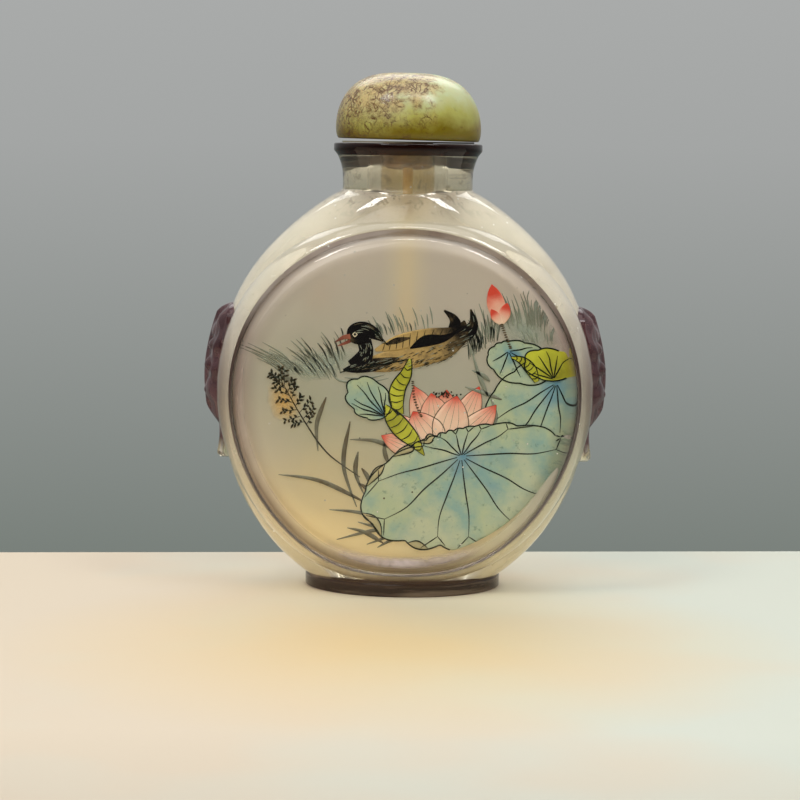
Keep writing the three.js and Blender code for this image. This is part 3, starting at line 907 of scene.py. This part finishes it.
def paintedLeaves():
    paint = Paint(3)
    for leaf in leaves.values():
        paint.set(leaf["layer"], leaf.get("slot", 0))
        paint.leaf(leaf, (1, 0), *leaf.get("cells", (100, 30)))
    paint.set(9, 1)
    for points, widths in rolled:
        paint.dab(points, widths, (0.1, 0.6, 0.2, 0.7), 24, 6)
    paint.set(9, 2)
    for start, span in curls:
        paint.dab(*curled(start, span), (0.2, 0.9), 10, 4)
    paint.side = 1
    for name in backLeaves:
        paint.set(leaves[name]["layer"])
        paint.leaf(leaves[name])
    lime, tan = pooled("limePaint", "lime", "limeDeep"), pooled("tanPaint", "tan", "tanDeep")
    paint.done("paint_leaves", [leafFinish(), lime, tan])


def curled(start, span):
    inward = ((0, 0.995), (0.33, 0.965), (0.66, 0.965), (1, 0.995))
    points = [leafPoint(leaves["large"], start + span * share, inner) for share, inner in inward]
    return points, (0.05, 0.5, 0.42, 0.05)


# Petals fan out from the foot of the bloom: angle from upright, length, half width.
bloom = {
    "foot": (5.2, -6.4),
    "rings": [
        [(-24, 9.9, 2.0), (2, 8.6, 2.1), (27, 10.2, 1.9)],
        [(-52, 8.6, 1.7), (-12, 8.3, 2.3), (46, 9.6, 1.8)],
        [(-74, 8.6, 1.6), (12, 8.0, 2.3), (-36, 7.0, 2.3)],
        [(-94, 6.8, 1.1)],
    ],
    "profile": (0.3, 0.72, 1.0, 1.0, 0.66, 0.02),
    "stalk": [(1.0, 3.2), (1.3, 0.8), (2.2, -1.4)],
}
bud = {
    "foot": (12.6, 11.0),
    "petals": [(-15, 5.4, 1.15), (14, 2.9, 0.75), (-36, 2.4, 0.6)],
    "stalk": [(12.6, 11.0), (13.2, 9.4), (13.9, 7.7)],
}


def petal(foot, angle, length, half):
    tip = math.radians(angle)
    bow = 0.16 * length * math.sin(tip)
    points = []
    for share in (0, 0.33, 0.66, 1):
        out = length * share
        across = foot[0] + out * math.sin(tip) + bow * share * (1 - share)
        up = foot[1] + out * math.cos(tip) - abs(bow) * 0.9 * share * (1 - share)
        points.append((across, up))
    return points, [half * share for share in bloom["profile"]]


# A prickly stalk, dotted on.
def dotted(lines, stalk, places, reach, widths, tone):
    for share in places:
        across, up = through(stalk, share)
        lines.dab([(across - reach, up), (across + reach, up + 0.06)], widths, (tone, 0.5), 2, 1)


def paintedBlooms(lines):
    paint = Paint(5)
    layer = 3
    for ring in bloom["rings"]:
        for angle, length, half in ring:
            points, widths = petal(bloom["foot"], angle, length, half)
            paint.set(layer)
            lines.set(layer + 0.5)
            paint.dab(points, widths, (0.35, 0.15, 0.2, 0.45, 1.05), 18, 6)
            lines.outline(points, widths, 0.55, 0.5)
            for aside in (-0.4, 0.0, 0.4):          # fine veins of a petal
                vein = [edgePoint(points, widths, share, aside) for share in (0.35, 0.6, 0.88)]
                lines.line(vein, 0.2, 0.7, 8)
            layer += 0.35
    lines.set(layer + 1)
    for _ in range(26):                             # stamens
        across, up = lines.chance.gauss(5.0, 0.7), lines.chance.gauss(1.5, 0.3)
        lines.dab([(across, up), (across + 0.12, up + 0.22)], (0.06, 0.13, 0.04), (0.1, 0.3), 2, 1)
    for side in (-1, 1):
        paint.side = lines.side = side
        for angle, length, half in bud["petals"]:
            points, widths = petal(bud["foot"], angle, length, half)
            paint.set(layer)
            paint.dab(points, widths, (0.2, 0.35, 0.6, 0.95, 1.15), 16, 6)
            layer += 0.35
        lines.set(layer)
        dotted(lines, bud["stalk"], stations(0.05, 0.95, 11), 0.22, (0.05, 0.11, 0.04), 0.3)
    lines.side = -1
    dotted(lines, bloom["stalk"], stations(0.0, 1.0, 14), 0.2, (0.04, 0.1, 0.04), 0.2)
    tones = [(0.25, "petal"), (0.65, "petalFlush"), (0.98, "petalTip")]
    paint.done("paint_blooms", [graded("petalPaint", (420, 4, 0.6), 0.6, tones)])


# A waterfowl: points along each part, half widths, shades from black at 0 to ochre at 1, and slot.
waterfowl = {
    "farTail": ([(6.0, 9.2), (6.5, 10.6), (6.2, 11.7), (5.0, 12.7)], (0.8, 0.85, 0.55, 0.12), (0.0, 0.3), 0),
    "midTail": ([(6.6, 9.4), (7.4, 10.4), (7.7, 11.4)], (0.9, 0.8, 0.1), (0.0, 0.3), 0),
    "nearTail": ([(6.6, 9.0), (8.2, 9.9), (8.9, 11.1), (8.5, 12.9)], (0.9, 0.95, 0.6, 0.1), (0.0, 0.3), 0),
    "flank": ([(-6.6, 5.2), (-3.0, 5.7), (1.4, 6.8), (5.4, 8.0), (8.6, 9.8)],
              (0.5, 1.3, 1.7, 1.5, 0.3), (0.3, 0.75, 0.8, 0.6, 0.1), 0),
    "wing": ([(-4.0, 7.3), (-1.0, 8.3), (2.6, 9.3), (6.8, 10.3)],
             (0.2, 1.0, 0.95, 0.2), (1.0, 0.95, 0.75, 0.2), 0),
    "wingBar": ([(0.6, 7.6), (2.6, 8.6), (5.0, 9.0), (6.8, 9.9)], (0.1, 0.75, 0.5, 0.1), (0.0, 0.15), 0),
    "shoulder": ([(-2.6, 8.1), (-1.2, 8.6), (0.6, 9.0)], (0.1, 0.4, 0.1), (0.1, 0.3), 0),
    "breast": ([(-8.2, 4.6), (-6.2, 5.0), (-3.6, 5.5), (-0.8, 6.3)], (0.15, 0.75, 0.8, 0.15), (0.0, 0.3), 0),
    "neck": ([(-7.0, 5.0), (-5.7, 6.0), (-5.2, 7.2), (-5.5, 8.6)], (1.0, 1.15, 0.95, 0.95), (0.0, 0.2), 0),
    "crown": ([(-7.6, 8.9), (-6.9, 9.8), (-5.5, 10.1), (-4.0, 9.4), (-3.0, 8.5)],
              (0.2, 0.85, 0.95, 0.75, 0.1), (0.1, 0.0), 0),
    "cheek": ([(-7.7, 8.8), (-6.4, 8.9), (-4.8, 8.9)], (0.25, 0.85, 0.4), (0.25, 0.0), 0),
    "upperBill": ([(-7.3, 9.1), (-8.3, 8.9), (-9.3, 8.3)], (0.34, 0.26, 0.05), (0.4, 0.9), 1),
    "lowerBill": ([(-7.3, 8.5), (-8.2, 8.1), (-9.0, 7.8)], (0.22, 0.17, 0.04), (0.9, 0.7), 1),
    "eyeRing": ([(-7.05, 9.35), (-6.7, 9.35), (-6.35, 9.35)], (0.03, 0.34, 0.03), (0.0, 0.0), 2),
    "eye": ([(-6.9, 9.35), (-6.7, 9.35), (-6.5, 9.35)], (0.02, 0.19, 0.02), (0.0, 0.0), 0),
}


def paintedWaterfowl(lines):
    paint = Paint(7)
    for step, (points, widths, shades, slot) in enumerate(waterfowl.values()):
        paint.set(5 + step * 0.3, slot)
        paint.dab(points, widths, shades, 28, 8)
    lines.set(10)
    points, widths = waterfowl["flank"][:2]
    for _ in range(150):                            # short feather strokes on the flank
        share, aside = lines.chance.uniform(0.08, 0.95), lines.chance.uniform(-0.2, 1.1)
        across, up = edgePoint(points, widths, share, -aside)
        length = lines.chance.uniform(0.4, 0.9)
        shade = lines.chance.choice((0.05, 0.3, 0.55, 0.95))
        lines.line([(across, up), (across + length * 0.9, up + length * 0.45)], 0.35, shade, 3)
    strokes = (("neck", 34, 0.09), ("crown", 16, 0.16), ("breast", 14, 0.12), ("nearTail", 8, 0.14))
    for part, count, long in strokes:
        points, widths = waterfowl[part][:2]
        for _ in range(count):                      # paler strokes on the black
            share, aside = lines.chance.uniform(0.08, 0.85), lines.chance.uniform(-0.8, 0.8)
            stroke = [edgePoint(points, widths, share + long * step, aside) for step in (0, 0.5, 1)]
            lines.line(stroke, 0.35, lines.chance.choice((0.5, 0.8, 0.95)), 4)
    points, widths = waterfowl["wing"][:2]
    for share in stations(0.15, 0.9, 9):            # edges of the wing feathers
        edge = [edgePoint(points, widths, share + 0.03 * side, side * 0.8) for side in (-1, 0, 1)]
        lines.line(edge, 0.4, 0.1, 5)
    for step in stations(0, 1, 7):                  # loose ends of the crest and the breast
        across, up = between(-4.6, -3.2, step), between(10.0, 8.3, step)
        lines.line([(across, up), (across + 0.6, up - 0.1), (across + 1.0, up - 0.4)], 0.45, 0.0, 4)
        across, up = between(-8.6, -1.0, step), between(4.3, 5.8, step)
        lines.line([(across, up), (across + 1.3, up + 0.35)], 0.7, 0.1, 4)
    bill, eye = pooled("billPaint", "bill", "billDeep"), pooled("eyePaint", "cream", "cream")
    tones = [(0.2, "black"), (0.5, "brown"), (0.85, "ochre")]
    paint.done("paint_waterfowl", [graded("birdPaint", (520, 5, 0.75), 1.1, tones), bill, eye])


# Clumps of grass: ends of the line it grows from, number of blades, height, lean of its two ends, shade.
clumps = [
    ((-16.4, 4.2), (-8.4, 3.8), 46, 3.6, (-1.7, -0.5), 0.8),
    ((-13.0, 5.6), (-7.6, 6.6), 24, 3.4, (-0.8, -0.3), 0.75),
    ((-8.6, 8.4), (-7.0, 8.8), 6, 2.8, (-0.3, -0.1), 0.8),
    ((-4.8, 9.4), (3.6, 10.6), 26, 2.6, (-0.5, -0.1), 0.95),
    ((8.8, 7.6), (12.2, 9.0), 44, 4.8, (-0.5, 0.1), 0.8),
    ((12.6, 11.0), (18.6, 10.4), 52, 4.4, (-0.5, 0.05), 0.8),
    ((15.6, 8.4), (19.4, 9.0), 18, 2.2, (-0.5, -0.1), 1.0),
    ((8.2, 6.4), (10.0, 7.6), 14, 2.4, (-0.2, 0.3), 0.9),
]
blades = [
    [(-6.2, -13.6), (-8.0, -8.0), (-7.2, -2.2)],
    [(-5.2, -12.0), (-6.4, -9.0), (-6.1, -6.2)],
    [(-11.4, -6.2), (-11.6, -2.6), (-10.4, 1.0)],
    [(-16.6, -9.4), (-11.0, -10.2), (-5.0, -13.0)],
    [(-7.2, -4.6), (-3.6, -4.8), (-0.2, -6.4)],
    [(-2.4, -3.6), (-2.6, -6.0), (-2.0, -7.9)],
    [(-9.8, -14.0), (-4.8, -14.6), (0.6, -17.4)],
    [(-8.8, -18.0), (-3.4, -16.6), (1.6, -16.2)],
    [(-7.4, -16.4), (-5.0, -17.0), (-2.6, -18.4)],
    [(-6.0, -15.6), (-2.6, -16.6), (0.8, -18.0)],
    [(-4.8, -18.6), (-1.6, -17.2), (0.4, -15.0)],
    [(-3.4, -19.0), (-1.0, -17.8), (2.6, -17.4)],
    [(-4.4, -12.6), (-4.6, -10.0), (-5.6, -8.4)],
    [(-3.0, -13.6), (-4.2, -11.6), (-6.0, -10.4)],
    [(8.8, 7.2), (9.8, 4.0), (11.0, 1.4)],
    [(7.9, 2.6), (10.2, 1.9), (12.8, 1.0)],
    [(8.8, 4.8), (10.2, 4.2), (11.2, 3.4)],
    [(11.2, 1.6), (12.0, -0.8), (11.9, -2.6)],
]
seedHead = {
    "stem": [(-5.8, -9.6), (-10.2, -6.4), (-13.4, -2.0), (-16.4, 3.2)],
    "sprays": 16, "grains": 6, "length": 1.9, "from": 0.62, "spread": 2.4,
}
washes = [      # pools of thin colour: middle, half its length and width, tilt and slot
    ((-15.9, 0.4), 2.6, 3.6, 25, 1),
    ((15.8, 10.2), 5.6, 3.0, -24, 0),
    ((-11.4, 5.4), 6.4, 2.2, 12, 0),
]
ripples = [
    [(-9.8, 4.2), (-8.6, 3.2), (-5.6, 2.9), (-2.2, 3.6)],
    [(-8.0, 3.6), (-5.4, 3.5), (-2.6, 4.1)],
]


def paintedGrass(paint, clumps):
    for start, end, count, height, leans, shade in clumps:
        paint.set(1)
        for _ in range(count):
            share = paint.chance.random()
            across = between(start[0], end[0], share)
            up = between(start[1], end[1], share) + paint.chance.uniform(-0.6, 0.6)
            tall = height * paint.chance.uniform(0.35, 1.0)
            lean = between(*leans, share) + paint.chance.uniform(-0.15, 0.15)
            bend, tip = (across + lean * tall * 0.4, up + tall * 0.55), (across + lean * tall, up + tall)
            tone = shade + paint.chance.uniform(-0.22, 0.15)
            paint.dab([(across, up), bend, tip], (0.03, 0.09, 0.03), (shade, tone), 6, 1)


def paintedSeeds(paint):
    stem = seedHead["stem"]
    paint.set(4)
    paint.line(stem, 0.8, 0.2, 20)
    for spray in range(seedHead["sprays"]):
        share = between(seedHead["from"], 1.0, spray / (seedHead["sprays"] - 1))
        root = through(stem, share)
        side = 1 if spray % 2 else -1
        lean = 0.5 + side * seedHead["spread"] * (1.15 - share) + paint.chance.uniform(-0.3, 0.3)
        length = seedHead["length"] * paint.chance.uniform(0.7, 1.2)
        tip = (root[0] - length * math.sin(lean), root[1] + length * math.cos(lean))
        paint.line([root, tip], 0.4, 0.1, 4)
        for grain in range(seedHead["grains"]):
            place = through([root, tip], between(0.3, 1, grain / (seedHead["grains"] - 1)))
            away = lean + (0.9 if grain % 2 else -0.9) + paint.chance.uniform(-0.5, 0.5)
            long = paint.chance.uniform(0.42, 0.75)
            end = (place[0] - long * math.sin(away), place[1] + long * math.cos(away))
            paint.dab([place, through([place, end], 0.5), end], (0.04, 0.16, 0.03), (0.0, 0.4), 5, 2)


def paintedReeds(paint):
    paintedGrass(paint, clumps)
    paint.set(4)
    for points in blades:                           # brown below, and grey above the water
        shades = (0.66, 0.52) if points[0][1] < 0 else (0.9, 0.75)
        paint.dab(points, (0.05, 0.2, 0.3, 0.08), shades, 16, 2)
    paintedSeeds(paint)
    paint.set(2)
    for points in ripples:
        paint.dab(points, (0.03, 0.12, 0.12, 0.03), (1.2, 1.2), 16, 1)
    paint.side = 1
    paintedGrass(paint, clumps[:2])
    for points in blades[:4]:
        paint.dab(points, (0.05, 0.2, 0.32, 0.08), (0.85, 0.7), 16, 2)
    paint.side = -1


def paintedWashes():
    paint = Paint(13)
    for layer, (middle, long, wide, tilt, slot) in enumerate(washes):
        paint.set(0.2 + layer * 0.1, slot)
        pool = {"hub": middle, "middle": middle, "long": long, "wide": wide, "tilt": tilt}
        paint.leaf({**pool, "lobe": 0.3, "lobes": 7}, (1, 0), 48, 12)
    paint.done("paint_washes", [thinWash("hazePaint", "haze", 0.55), thinWash("goldPaint", "gold", 0.45)])


# The runs of a line's points that are not past the edge of the painted wall.
def withinReach(points):
    runs = [[]]
    for point in points:
        if math.hypot(*point) < paintReach(*point) - 0.2:
            runs[-1].append(point)
        elif runs[-1]:
            runs.append([])
    return [run for run in runs if len(run) > 2]


def inkOnLeaves(lines):
    for side, names in ((-1, leaves), (1, backLeaves)):
        lines.side = side
        for name in names:
            leaf = leaves[name]
            lines.set(leaf["ink"])
            for rim in withinReach([leafPoint(leaf, angle, 1.0) for angle in stations(-pi, pi, 240)]):
                lines.dab(rim, (painting["line"] * 0.75,) * 5, (0, 0), len(rim), 1)
            count, first, last = leaf["veins"]
            for vein in range(count):
                angle = between(first, last, (vein + 0.5) / count) + lines.chance.uniform(-0.08, 0.08)
                far = lines.chance.uniform(0.76, 0.92)
                bends = [lines.chance.uniform(-0.05, 0.05) for _ in range(5)]
                route = zip(bends, (0.05, 0.25, 0.5, 0.75, 1.0))
                points = [leafPoint(leaf, angle + bend * share, far * share) for bend, share in route]
                lines.line(points, 0.75, 0, 20)
                if name == "large":
                    for fork in (-0.13, 0.11):
                        end = leafPoint(leaf, angle + bends[-1] + fork, 0.98)
                        lines.line([points[-1], end], 0.6, 0, 6)
    lines.side = -1
    lines.set(12)
    for points, widths in rolled:
        lines.outline(points, widths)
        for share in stations(0.15, 0.85, 6):
            fold = [(share + 0.04 * (1 - aside * aside), aside) for aside in (-0.9, 0, 0.9)]
            lines.line([edgePoint(points, widths, *place) for place in fold], 0.55, 0, 6)
    for start, span in curls:
        lines.outline(*curled(start, span), 0.7)


def paintedPanels():
    lines = Paint(11)
    paintedWashes()
    paintedLeaves()
    paintedBlooms(lines)
    paintedWaterfowl(lines)
    paintedReeds(lines)
    inkOnLeaves(lines)
    tones = [(0.1, "ink"), (0.45, "inkBrown"), (0.85, "inkWash")]
    lines.done("paint_brushwork", [graded("reedPaint", (600, 3), 0.4, tones)])


cap = {
    "baseRadius": 9.35, "flat": 0.6, "belly": 1.5, "height": 9.0, "round": 3.1, "around": 128,
    "seat": 0.05, "lean": 0.0175,      # it sits a little lower on the right
}
stoneLook = {
    "upward": [(0.14, (0.20, 0.145, 0.001)), (0.4, (0.42, 0.40, 0.09)), (0.66, (0.48, 0.51, 0.27))],
    "cloud": (150, 5, 0.6), "cloudiness": 0.8,
    "straw": (0.50, 0.36, 0.14), "strawAbove": (0.2, 0.55), "strawShare": 0.8,    # in shares of the height
    "skin": (210, 5, 0.65), "skinHigher": 0.14, "skinLeft": 0.02, "skinAmount": (0.5, 0.62),
    "vein": (0.10, 0.042, 0.006),
    "net": 1150, "netLine": (0.2, 0.03), "netBend": (400, 3), "netBent": 0.0022,
    "netBroken": (600, 4, 0.75), "netBreaks": (0.42, 0.56),
    "thread": (420, 6, 0.75, 1.2), "threadLine": (0.03, 0.0), "threadShare": 0.6,
    "grains": (1500, 5, 0.8, 0.6), "grainAmount": (0.46, 0.58),
    "heaps": (450, 3), "heapAmount": (0.42, 0.54),
    "fleck": (1100, 3, 0.7), "fleckAmount": (0.6, 0.7), "fleckBelow": (0.75, 0.1), "fleckShare": 0.6,
    "roughness": (300, 3), "roughest": 0.42, "smoothest": 0.22,
}


def stoneFinish():
    look, finish = stoneLook, Finish("greenStone")
    base = (finish.along(2) - capLow.z / mm) / cap["height"]
    cloud = finish.noise(*look["cloud"])
    colour = finish.ramp(base + (cloud - 0.5) * look["cloudiness"], look["upward"])
    # Straw-coloured skin, with a broken net of brown cracks and grains, on the left and over the top.
    skin = finish.noise(*look["skin"]) + base * look["skinHigher"] - finish.along(0) * look["skinLeft"]
    skin = finish.fade(skin, *look["skinAmount"])
    straw = skin * finish.fade(base, *look["strawAbove"]) * look["strawShare"]
    colour = finish.blend(straw, colour, look["straw"])
    bend = finish.noise(*look["netBend"], output="Color")
    bent = finish.node("VectorMath", {"operation": "MULTIPLY_ADD"},
                       {0: bend, 1: (look["netBent"],) * 3, 2: finish.place()})
    net = {"Vector": bent, "Scale": look["net"]}
    crack = finish.fade(finish.node("TexVoronoi", {"feature": "DISTANCE_TO_EDGE"}, net), *look["netLine"])
    crack *= finish.fade(finish.noise(*look["netBroken"]), *look["netBreaks"])
    thread = finish.fade((finish.noise(*look["thread"]) - 0.5).maths("ABSOLUTE"), *look["threadLine"])
    grains = finish.fade(finish.noise(*look["grains"]), *look["grainAmount"])
    grains *= finish.fade(finish.noise(*look["heaps"]), *look["heapAmount"])
    brown = crack.maths("MAXIMUM", thread * look["threadShare"]).maths("MAXIMUM", grains)
    colour = finish.blend(brown * skin, colour, look["vein"])
    fleck = finish.fade(finish.noise(*look["fleck"]), *look["fleckAmount"]) * look["fleckShare"]
    colour = finish.blend(fleck * finish.fade(base, *look["fleckBelow"]), colour, look["vein"])
    rough = finish.noise(*look["roughness"]) * (look["roughest"] - look["smoothest"]) + look["smoothest"]
    return finish.done(finish.principled({
        "Base Color": colour, "Roughness": rough, "IOR": 1.5,
        "Specular IOR Level": 0.35, "Coat Weight": 0.15, "Coat Roughness": 0.1,
        "Subsurface Weight": 0.15, "Subsurface Scale": 0.002,
        "Normal": finish.bump(cloud + crack * skin * -0.4, 0.3, 0.0001),
    }))


def stoneCap():
    radius = (capHigh.x - capLow.x) / 2 / mm
    base = plugHigh.z / mm + cap["seat"] + plugHigh.x / mm * cap["lean"]
    belly, top = base + cap["belly"], base + cap["height"]
    rows = [(0.0, base), (cap["baseRadius"] * cap["flat"], base)]
    for a in stations(0, pi / 2, 8):
        rows.append((between(cap["baseRadius"], radius, math.sin(a)), belly - cap["belly"] * math.cos(a)))
    for a in stations(0, pi / 2, 30)[1:-1]:
        rows.append((radius * math.cos(a) ** (2 / cap["round"]), between(belly, top, math.sin(a))))
    rows.append((0.0, top))

    def place(turn, row):
        across = row[0] * math.cos(turn)
        return (across, row[0] * math.sin(turn), row[1] - across * cap["lean"])

    bm = closed(wrapped(cap["around"], rows, place))
    piece = meshObject("cap_stone", bm, [stoneFinish()])
    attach(piece, "root")
    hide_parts("stopper_cap")
    print("cap", len(piece.data.polygons), "faces")


corkLook = {
    "dark": (0.10, 0.05, 0.02), "light": (0.34, 0.20, 0.09), "grain": (700, 4, 0.6), "roughness": 0.75,
    "collar": (0.10, 0.07, 0.04), "collarLeft": (0.72, 0.66, 0.48),    # pale only on the left
    "collarAbove": (-0.45, -0.4), "collarAcross": (1, -5),
}


def corkFinish():
    look, finish = corkLook, Finish("cork")
    grain = finish.noise(*look["grain"])
    cork = finish.ramp(grain, [(0.3, look["dark"]), (0.7, look["light"])])
    left = finish.fade(finish.along(0), *look["collarAcross"])
    collar = finish.blend(left, look["collar"], look["collarLeft"])
    isCollar = finish.fade(finish.along(2) - plugHigh.z / mm, *look["collarAbove"])
    return finish.done(finish.principled({
        "Base Color": finish.blend(isCollar, cork, collar), "Roughness": look["roughness"],
        "Normal": finish.bump(grain, 0.4, 0.0001),
    }))


boneLook = {"dark": (0.80, 0.52, 0.18), "light": (0.92, 0.68, 0.28), "grain": (500, 3), "roughness": 0.4}


def boneFinish():
    finish = Finish("bone")
    grain = finish.noise(*boneLook["grain"])
    colour = finish.ramp(grain, [(0.3, boneLook["dark"]), (0.75, boneLook["light"])])
    return finish.done(finish.principled({"Base Color": colour, "Roughness": boneLook["roughness"]}))


def dressed(node, material):
    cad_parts[node].data.materials.clear()
    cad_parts[node].data.materials.append(material)
    print(node, "is dressed in", material.name)


view = {"away": 349, "height": 60.1, "pitch": 5.7, "lens": 115.7, "aside": -0.64, "roll": 0.8}


def camera():
    data = bpy.data.cameras.new("camera")
    data.lens, data.sensor_width = view["lens"], 36
    data.clip_start, data.clip_end = 0.02, 20
    piece = placed("camera", data)
    piece.location = Vector((view["aside"], -view["away"], view["height"])) * mm
    pitch = Matrix.Rotation(math.radians(90 - view["pitch"]), 4, "X")
    piece.rotation_euler = (pitch @ Matrix.Rotation(math.radians(view["roll"]), 4, "Z")).to_euler()
    bpy.context.scene.camera = piece


floorLook = {
    "back": 27, "front": 900, "halfWidth": 900, "turn": 5.5, "roughness": 0.6,
    "warm": (0.56, 0.47, 0.35), "cool": (0.50, 0.52, 0.44), "cooler": (48, 128), "uneven": 160,
    "glow": (0.66, 0.46, 0.17), "glowMiddle": 45, "glowReach": (50, 6), "glowShare": 0.6,    # from the glass
    "away": (0.04, 0.04, 0.038), "darker": (90, 330),    # towards the viewer
}


def floorFinish():
    look, finish = floorLook, Finish("floor")
    across, nearer = finish.along(0), finish.along(1) * -1
    level = across + finish.noise(30, 2) * look["uneven"]
    colour = finish.blend(finish.fade(level, *look["cooler"]), look["warm"], look["cool"])
    # A painted pool of warm light that the glass casts on the floor.
    beyond = nearer - look["glowMiddle"]
    reach = (across * across + beyond * beyond) ** 0.5
    colour = finish.blend(finish.fade(reach, *look["glowReach"]) * look["glowShare"], colour, look["glow"])
    colour = finish.blend(finish.fade(nearer, *look["darker"]), colour, look["away"])
    return finish.done(finish.principled({"Base Color": colour, "Roughness": look["roughness"]}))


def floor():
    bm = bmesh.new()
    bmesh.ops.create_grid(bm, x_segments=1, y_segments=1, size=1)
    bmesh.ops.scale(bm, vec=(floorLook["halfWidth"] * mm, floorLook["front"] / 2 * mm, 1), verts=bm.verts)
    bmesh.ops.translate(bm, vec=(0, (floorLook["back"] - floorLook["front"] / 2) * mm, 0), verts=bm.verts)
    turn = Matrix.Rotation(math.radians(floorLook["turn"]), 3, "Z")
    bmesh.ops.rotate(bm, cent=(0, 0, 0), matrix=turn, verts=bm.verts)
    piece = meshObject("floor", bm, [floorFinish()], flat=True)


backdropLook = {
    "upward": [(0.0, (0.12, 0.14, 0.125)), (0.42, (0.19, 0.215, 0.195)), (0.5, (0.37, 0.38, 0.375)),
               (0.8, (0.66, 0.66, 0.66))],
    "forward": [(0.1, 0.12), (0.42, 1.0)],    # darker where the viewer stands
}


def backdrop():
    finish = Finish("backdrop", "worlds")
    towards = {"Vector": finish.node("TexCoord", output="Generated")}
    upward = finish.ramp(finish.node("SeparateXYZ", {}, towards, 2) * 0.5 + 0.5, backdropLook["upward"])
    forward = finish.levels(finish.node("SeparateXYZ", {}, towards, 1) * 0.5 + 0.5, backdropLook["forward"])
    colour = finish.blend(1.0, upward, forward, "MULTIPLY")
    bpy.context.scene.world = finish.done(finish.node("Background", {}, {"Color": colour}), "OutputWorld")


lamps = {    # place, size and power; all of them shine at the middle of the bottle
    "overheadLeft": ((-190, -150, 400), (90, 90), 0.45),
    "overheadRight": ((190, -150, 400), (90, 90), 0.45),
    "overheadStrip": ((40, -170, 430), (160, 40), 0.2),
    "softBehind": ((0, 280, 330), (400, 200), 0.6),
    "softTop": ((0, -60, 600), (500, 400), 1.0),
    "softFront": ((-250, -600, 350), (500, 400), 1.0),
}


def areaLight(name, place, size, power, aim=(0, 0, 30)):
    data = bpy.data.lights.new(name, "AREA")
    data.shape, data.size, data.size_y, data.energy = "RECTANGLE", size[0] * mm, size[1] * mm, power
    piece = placed(name, data)
    piece.location = Vector(place) * mm
    piece.rotation_euler = (Vector(place) - Vector(aim)).to_track_quat("Z", "Y").to_euler()


camera()
floor()
backdrop()
for name, lamp in lamps.items():
    areaLight(name, *lamp)
print("stage with", len(lamps), "lamps")
glassBottle()
paintedPanels()
stoneCap()
dressed("stopper_plug", corkFinish())
dressed("spoon", boneFinish())

bpy.context.scene.view_settings.view_transform = "Standard"
